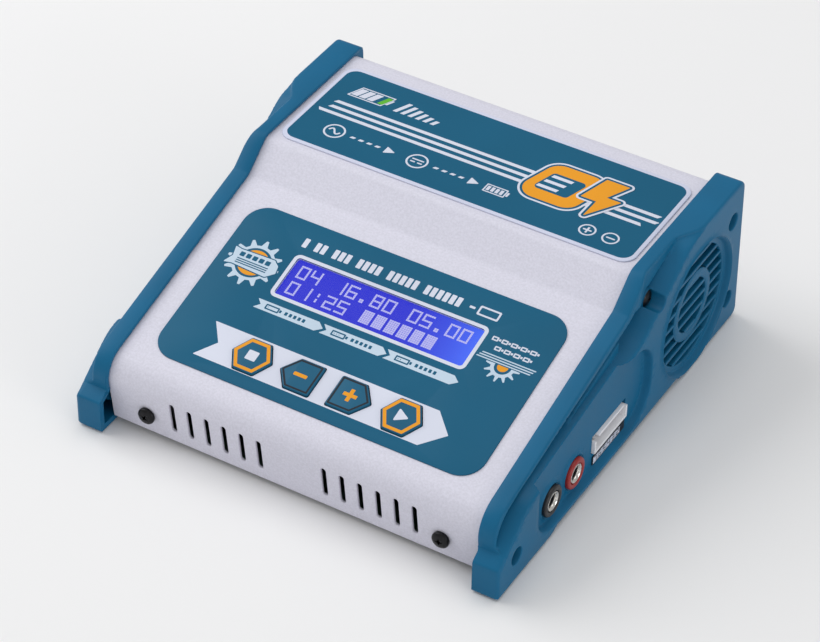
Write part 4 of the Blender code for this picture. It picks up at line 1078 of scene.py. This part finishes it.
# ---------------------------------------------------------------- materials
class Surface:
    """A Principled material and the nodes that vary it."""

    def __init__(self, name, colour, roughness, **values):
        self.material = bpy.data.materials.new(name)
        self.material.use_nodes = True
        self.tree = self.material.node_tree
        self.shader = self.tree.nodes["Principled BSDF"]
        self.colour = colour
        for key, value in {"Base Color": (*colour, 1.0), "Roughness": roughness, **values}.items():
            self.shader.inputs[key.replace("_", " ")].default_value = value
        self.spot = self.tree.nodes.new("ShaderNodeTexCoord").outputs["Object"]

    def link(self, output, socket):
        self.tree.links.new(output, self.shader.inputs[socket])

    def fill(self, socket, value):
        if isinstance(value, bpy.types.NodeSocket):
            self.tree.links.new(value, socket)
        else:
            socket.default_value = value

    def node(self, kind, **inputs):
        made = self.tree.nodes.new(kind)
        for key, value in inputs.items():
            self.fill(made.inputs[key.replace("_", " ")], value)
        return made

    def noise(self, scale, detail=2.0, roughness=0.5, spot=None):
        return self.node("ShaderNodeTexNoise", Vector=spot or self.spot, Scale=scale, Detail=detail,
                         Roughness=roughness).outputs["Fac"]

    def spread(self, value, to_low=0.0, to_high=1.0, low=0.3, high=0.7):
        """A value's middle range, spread out between two limits."""
        return self.node("ShaderNodeMapRange", Value=value, From_Min=low, From_Max=high, To_Min=to_low,
                         To_Max=to_high).outputs["Result"]

    def mix(self, factor, first, second):
        made = self.tree.nodes.new("ShaderNodeMix")
        made.data_type = "RGBA"
        for number, value in ((0, factor), (6, (*first, 1.0)), (7, (*second, 1.0))):
            self.fill(made.inputs[number], value)
        return made.outputs[2]

    def shade(self, factor, darker, lighter):
        """Base colour that varies between two multiples of the material's colour."""
        low, high = [[min(c * k, 1.0) for c in self.colour] for k in (darker, lighter)]
        self.link(self.mix(factor, low, high), "Base Color")

    def bump(self, height, strength, depth):
        made = self.node("ShaderNodeBump", Height=height, Strength=strength, Distance=depth)
        self.link(made.outputs["Normal"], "Normal")


def sheet_paint():
    """Powder coat: fine orange peel with a faint sparkle of grain."""
    s = Surface("sheet_paint", (0.66, 0.655, 0.752), 0.48, Specular_IOR_Level=0.4)
    grain = s.noise(1500.0, 3.0, 0.6)
    s.shade(s.spread(grain, low=0.35, high=0.65), 0.94, 1.05)
    s.link(s.spread(s.noise(900.0), 0.40, 0.55), "Roughness")
    s.bump(grain, 0.35, 0.00012)
    return s.material


def moulded(name, colour, roughness, grain=2200.0, depth=0.00006, **values):
    """Moulded plastic: a fine even grain with slow changes of gloss."""
    s = Surface(name, colour, roughness, **values)
    slow = s.noise(45.0)
    s.shade(s.spread(slow), 0.93, 1.07)
    s.link(s.spread(slow, roughness - 0.05, roughness + 0.06), "Roughness")
    s.bump(s.noise(grain), 0.3, depth)
    return s.material


def film(name, colour, roughness=0.40):
    """Printed film: an even colour with a fine matt finish."""
    s = Surface(name, colour, roughness, Specular_IOR_Level=0.12)
    fine = s.noise(3000.0, 1.0)
    s.shade(s.spread(s.noise(30.0)), 0.96, 1.04)
    s.link(s.spread(fine, roughness - 0.04, roughness + 0.05), "Roughness")
    s.bump(fine, 0.12, 0.00003)
    return s.material


def metal(name, colour, roughness, stretch=(1.0, 1.0, 1.0), scale=900.0, depth=0.00002):
    """Metal with fine marks, drawn out along an axis when stretch isn't even."""
    s = Surface(name, colour, roughness, Metallic=1.0)
    mapped = s.node("ShaderNodeMapping", Vector=s.spot, Scale=stretch).outputs["Vector"]
    marks = s.noise(scale, 3.0, 0.6, mapped)
    s.link(s.spread(marks, max(roughness - 0.08, 0.03), roughness + 0.1), "Roughness")
    s.shade(marks, 0.86, 1.08)
    s.bump(marks, 0.15, depth)
    return s.material


def glass_window():
    s = Surface("clear_plastic", (0.10, 0.11, 0.20), 0.06, Alpha=0.04)
    s.link(s.spread(s.noise(400.0), 0.04, 0.10), "Roughness")
    return s.material


def lit_display():
    """Backlit blue: deep on the left, brighter towards the lamp at the right end."""
    s = Surface("display", (0.012, 0.012, 0.10), 0.35, Specular_IOR_Level=0.12, Emission_Strength=1.0)
    x = s.node("ShaderNodeSeparateXYZ", Vector=s.spot).outputs["X"]
    lamp = WINDOW[1] * MM
    glow = s.node("ShaderNodeMath")
    glow.operation = "POWER"
    s.fill(glow.inputs[0], s.spread(x, low=lamp - 30.0 * MM, high=lamp))
    s.fill(glow.inputs[1], 2.2)
    s.link(s.mix(glow.outputs[0], (0.020, 0.026, 0.58), (0.06, 0.15, 0.92)), "Emission Color")
    return s.material


def lit_dots():
    s = Surface("lit_dot", (0.3, 0.3, 0.5), 0.4, Emission_Strength=0.5, Specular_IOR_Level=0.2)
    s.link(s.mix(s.noise(300.0), (0.42, 0.42, 0.85), (0.55, 0.55, 0.95)), "Emission Color")
    return s.material


def circuit_board():
    """Green mask with darker tracks and a fine weave below."""
    s = Surface("circuit_board", (0.02, 0.16, 0.06), 0.4)
    cells = s.node("ShaderNodeTexVoronoi", Vector=s.spot, Scale=160.0)
    cells.feature = "DISTANCE_TO_EDGE"
    tracks = s.spread(cells.outputs["Distance"], low=0.03, high=0.07)
    s.link(s.mix(tracks, (0.03, 0.24, 0.09), (0.012, 0.11, 0.04)), "Base Color")
    s.bump(tracks, 0.3, 0.00008)
    return s.material


def wound_copper():
    """Turns of enamelled wire, side by side, with painted shade in the creases between turns and a painted
    highlight along each turn.
    """
    s = Surface("copper", (0.62, 0.22, 0.07), 0.3, Metallic=0.85)
    turns = s.node("ShaderNodeTexWave", Vector=s.spot, Scale=420.0, Distortion=0.6, Detail=1.0).outputs["Fac"]
    # base colour darker between the turns as painted shade and lighter on their crowns as painted highlight;
    # the same wave drives the bump
    s.shade(turns, 0.45, 1.15)
    s.bump(turns, 0.8, 0.0003)
    return s.material


BLUE = (0.004, 0.117, 0.243)
FILM_BLUE = (0.0085, 0.106, 0.198)
FILMS = {"blue_film": FILM_BLUE, "ink_blue": FILM_BLUE, "pale_film": (0.62, 0.65, 0.80),
         "white_ink": (0.66, 0.69, 0.80), "pale_ink": (0.53, 0.65, 0.77), "orange_ink": (0.80, 0.33, 0.022),
         "green_ink": (0.12, 0.45, 0.04), "dark_ink": (0.022, 0.027, 0.036)}
MATERIALS = {name: film(name, colour) for name, colour in FILMS.items()}
MATERIALS.update(
    sheet_paint=sheet_paint(), clear_plastic=glass_window(), display=lit_display(), lit_dot=lit_dots(),
    circuit_board=circuit_board(), copper=wound_copper(),
    blue_plastic=moulded("blue_plastic", BLUE, 0.46, Specular_IOR_Level=0.2),
    key_plastic=moulded("key_plastic", FILM_BLUE, 0.40, 3000.0, 0.00003, Specular_IOR_Level=0.2),
    black_plastic=moulded("black_plastic", (0.014, 0.014, 0.016), 0.38),
    red_plastic=moulded("red_plastic", (0.30, 0.016, 0.014), 0.34),
    white_plastic=moulded("white_plastic", (0.74, 0.745, 0.78), 0.42),
    ferrite=moulded("ferrite", (0.03, 0.03, 0.032), 0.65, 900.0, 0.0001),
    steel=metal("steel", (0.52, 0.52, 0.53), 0.38, (1.0, 8.0, 1.0)),
    black_screw=metal("black_screw", (0.028, 0.028, 0.03), 0.34),
    bright_metal=metal("bright_metal", (0.80, 0.78, 0.74), 0.2, scale=500.0, depth=0.000002),
    aluminium=metal("aluminium", (0.74, 0.75, 0.77), 0.36, (1.0, 0.1, 1.0)))
# the record's material slot that each finish belongs to
SLOTS = {**{name: name for name in MATERIALS}, **dict.fromkeys(FILMS, "blue_film"),
         "key_plastic": "blue_film", "lit_dot": "display", "bright_metal": "contact_metal"}


def finish_nodes():
    """Every node that stays in view gets the detailed material of its record slot."""
    finish_of = {"contact_metal": "bright_metal"}
    for entry in frame["record"]["subparts"]:
        slot = entry["material_slot"]
        node = frame["nodes"][entry["node"]]
        node.data.materials.clear()
        node.data.materials.append(MATERIALS[finish_of.get(slot, slot)])


# ---------------------------------------------------------------- camera, floor and light
def make_camera():
    right = Vector((0.85895, 0.51184, 0.01478))
    up = Vector((-0.33555, 0.54083, 0.77130))
    forward = Vector((-0.38679, 0.66747, -0.63630))
    camera = link(bpy.data.objects.new("camera", bpy.data.cameras.new("camera")))
    turn = Matrix((right, up, -forward)).transposed().to_4x4()
    camera.matrix_world = Matrix.Translation((0.34761, -0.60312, 0.59148)) @ turn
    camera.data.lens = 133.353
    camera.data.sensor_width = 36.0
    camera.data.clip_start = 0.01
    bpy.context.scene.camera = camera


def make_floor():
    bm = bmesh.new()
    bmesh.ops.create_grid(bm, x_segments=8, y_segments=8, size=3.0)
    floor = link(bpy.data.objects.new("floor", finished(bm)))
    floor.location.z = -0.0005
    s = Surface("floor", (0.85, 0.85, 0.855), 0.8, Specular_IOR_Level=0.2)
    s.shade(s.noise(3.0), 0.985, 1.015)
    floor.data.materials.append(s.material)


def area_light(name, place, size, power):
    light = bpy.data.lights.new(name, "AREA")
    light.energy = power
    light.size = size
    made = link(bpy.data.objects.new(name, light))
    made.location = place
    made.rotation_euler = (Vector((0.0, 0.0, 0.02)) - Vector(place)).to_track_quat("-Z", "Y").to_euler()


def make_light():
    world = bpy.data.worlds.new("studio")
    bpy.context.scene.world = world
    world.use_nodes = True
    background = world.node_tree.nodes["Background"]
    background.inputs["Color"].default_value = (1.0, 1.0, 1.0, 1.0)
    background.inputs["Strength"].default_value = 0.47
    area_light("left_key", (-1.1, -0.05, 0.9), 1.2, 11.5)
    area_light("top", (0.1, 0.3, 1.3), 1.0, 4.2)
    area_light("front_fill", (0.2, -1.2, 0.45), 0.8, 0.8)
    area_light("right_fill", (1.3, -0.3, 0.35), 0.6, 3.6)
    bpy.context.scene.view_settings.view_transform = "Standard"


# ---------------------------------------------------------------- assembly
make_camera()
make_floor()
make_light()
finish_nodes()
make_cover()
make_right_panel()
make_left_panel()
make_overlay()
make_window()
make_keys()
make_upper_label()
make_deck_print()
make_upper_print()
make_display()
make_sockets()
make_port_strip()
make_screws()
soften_nodes()
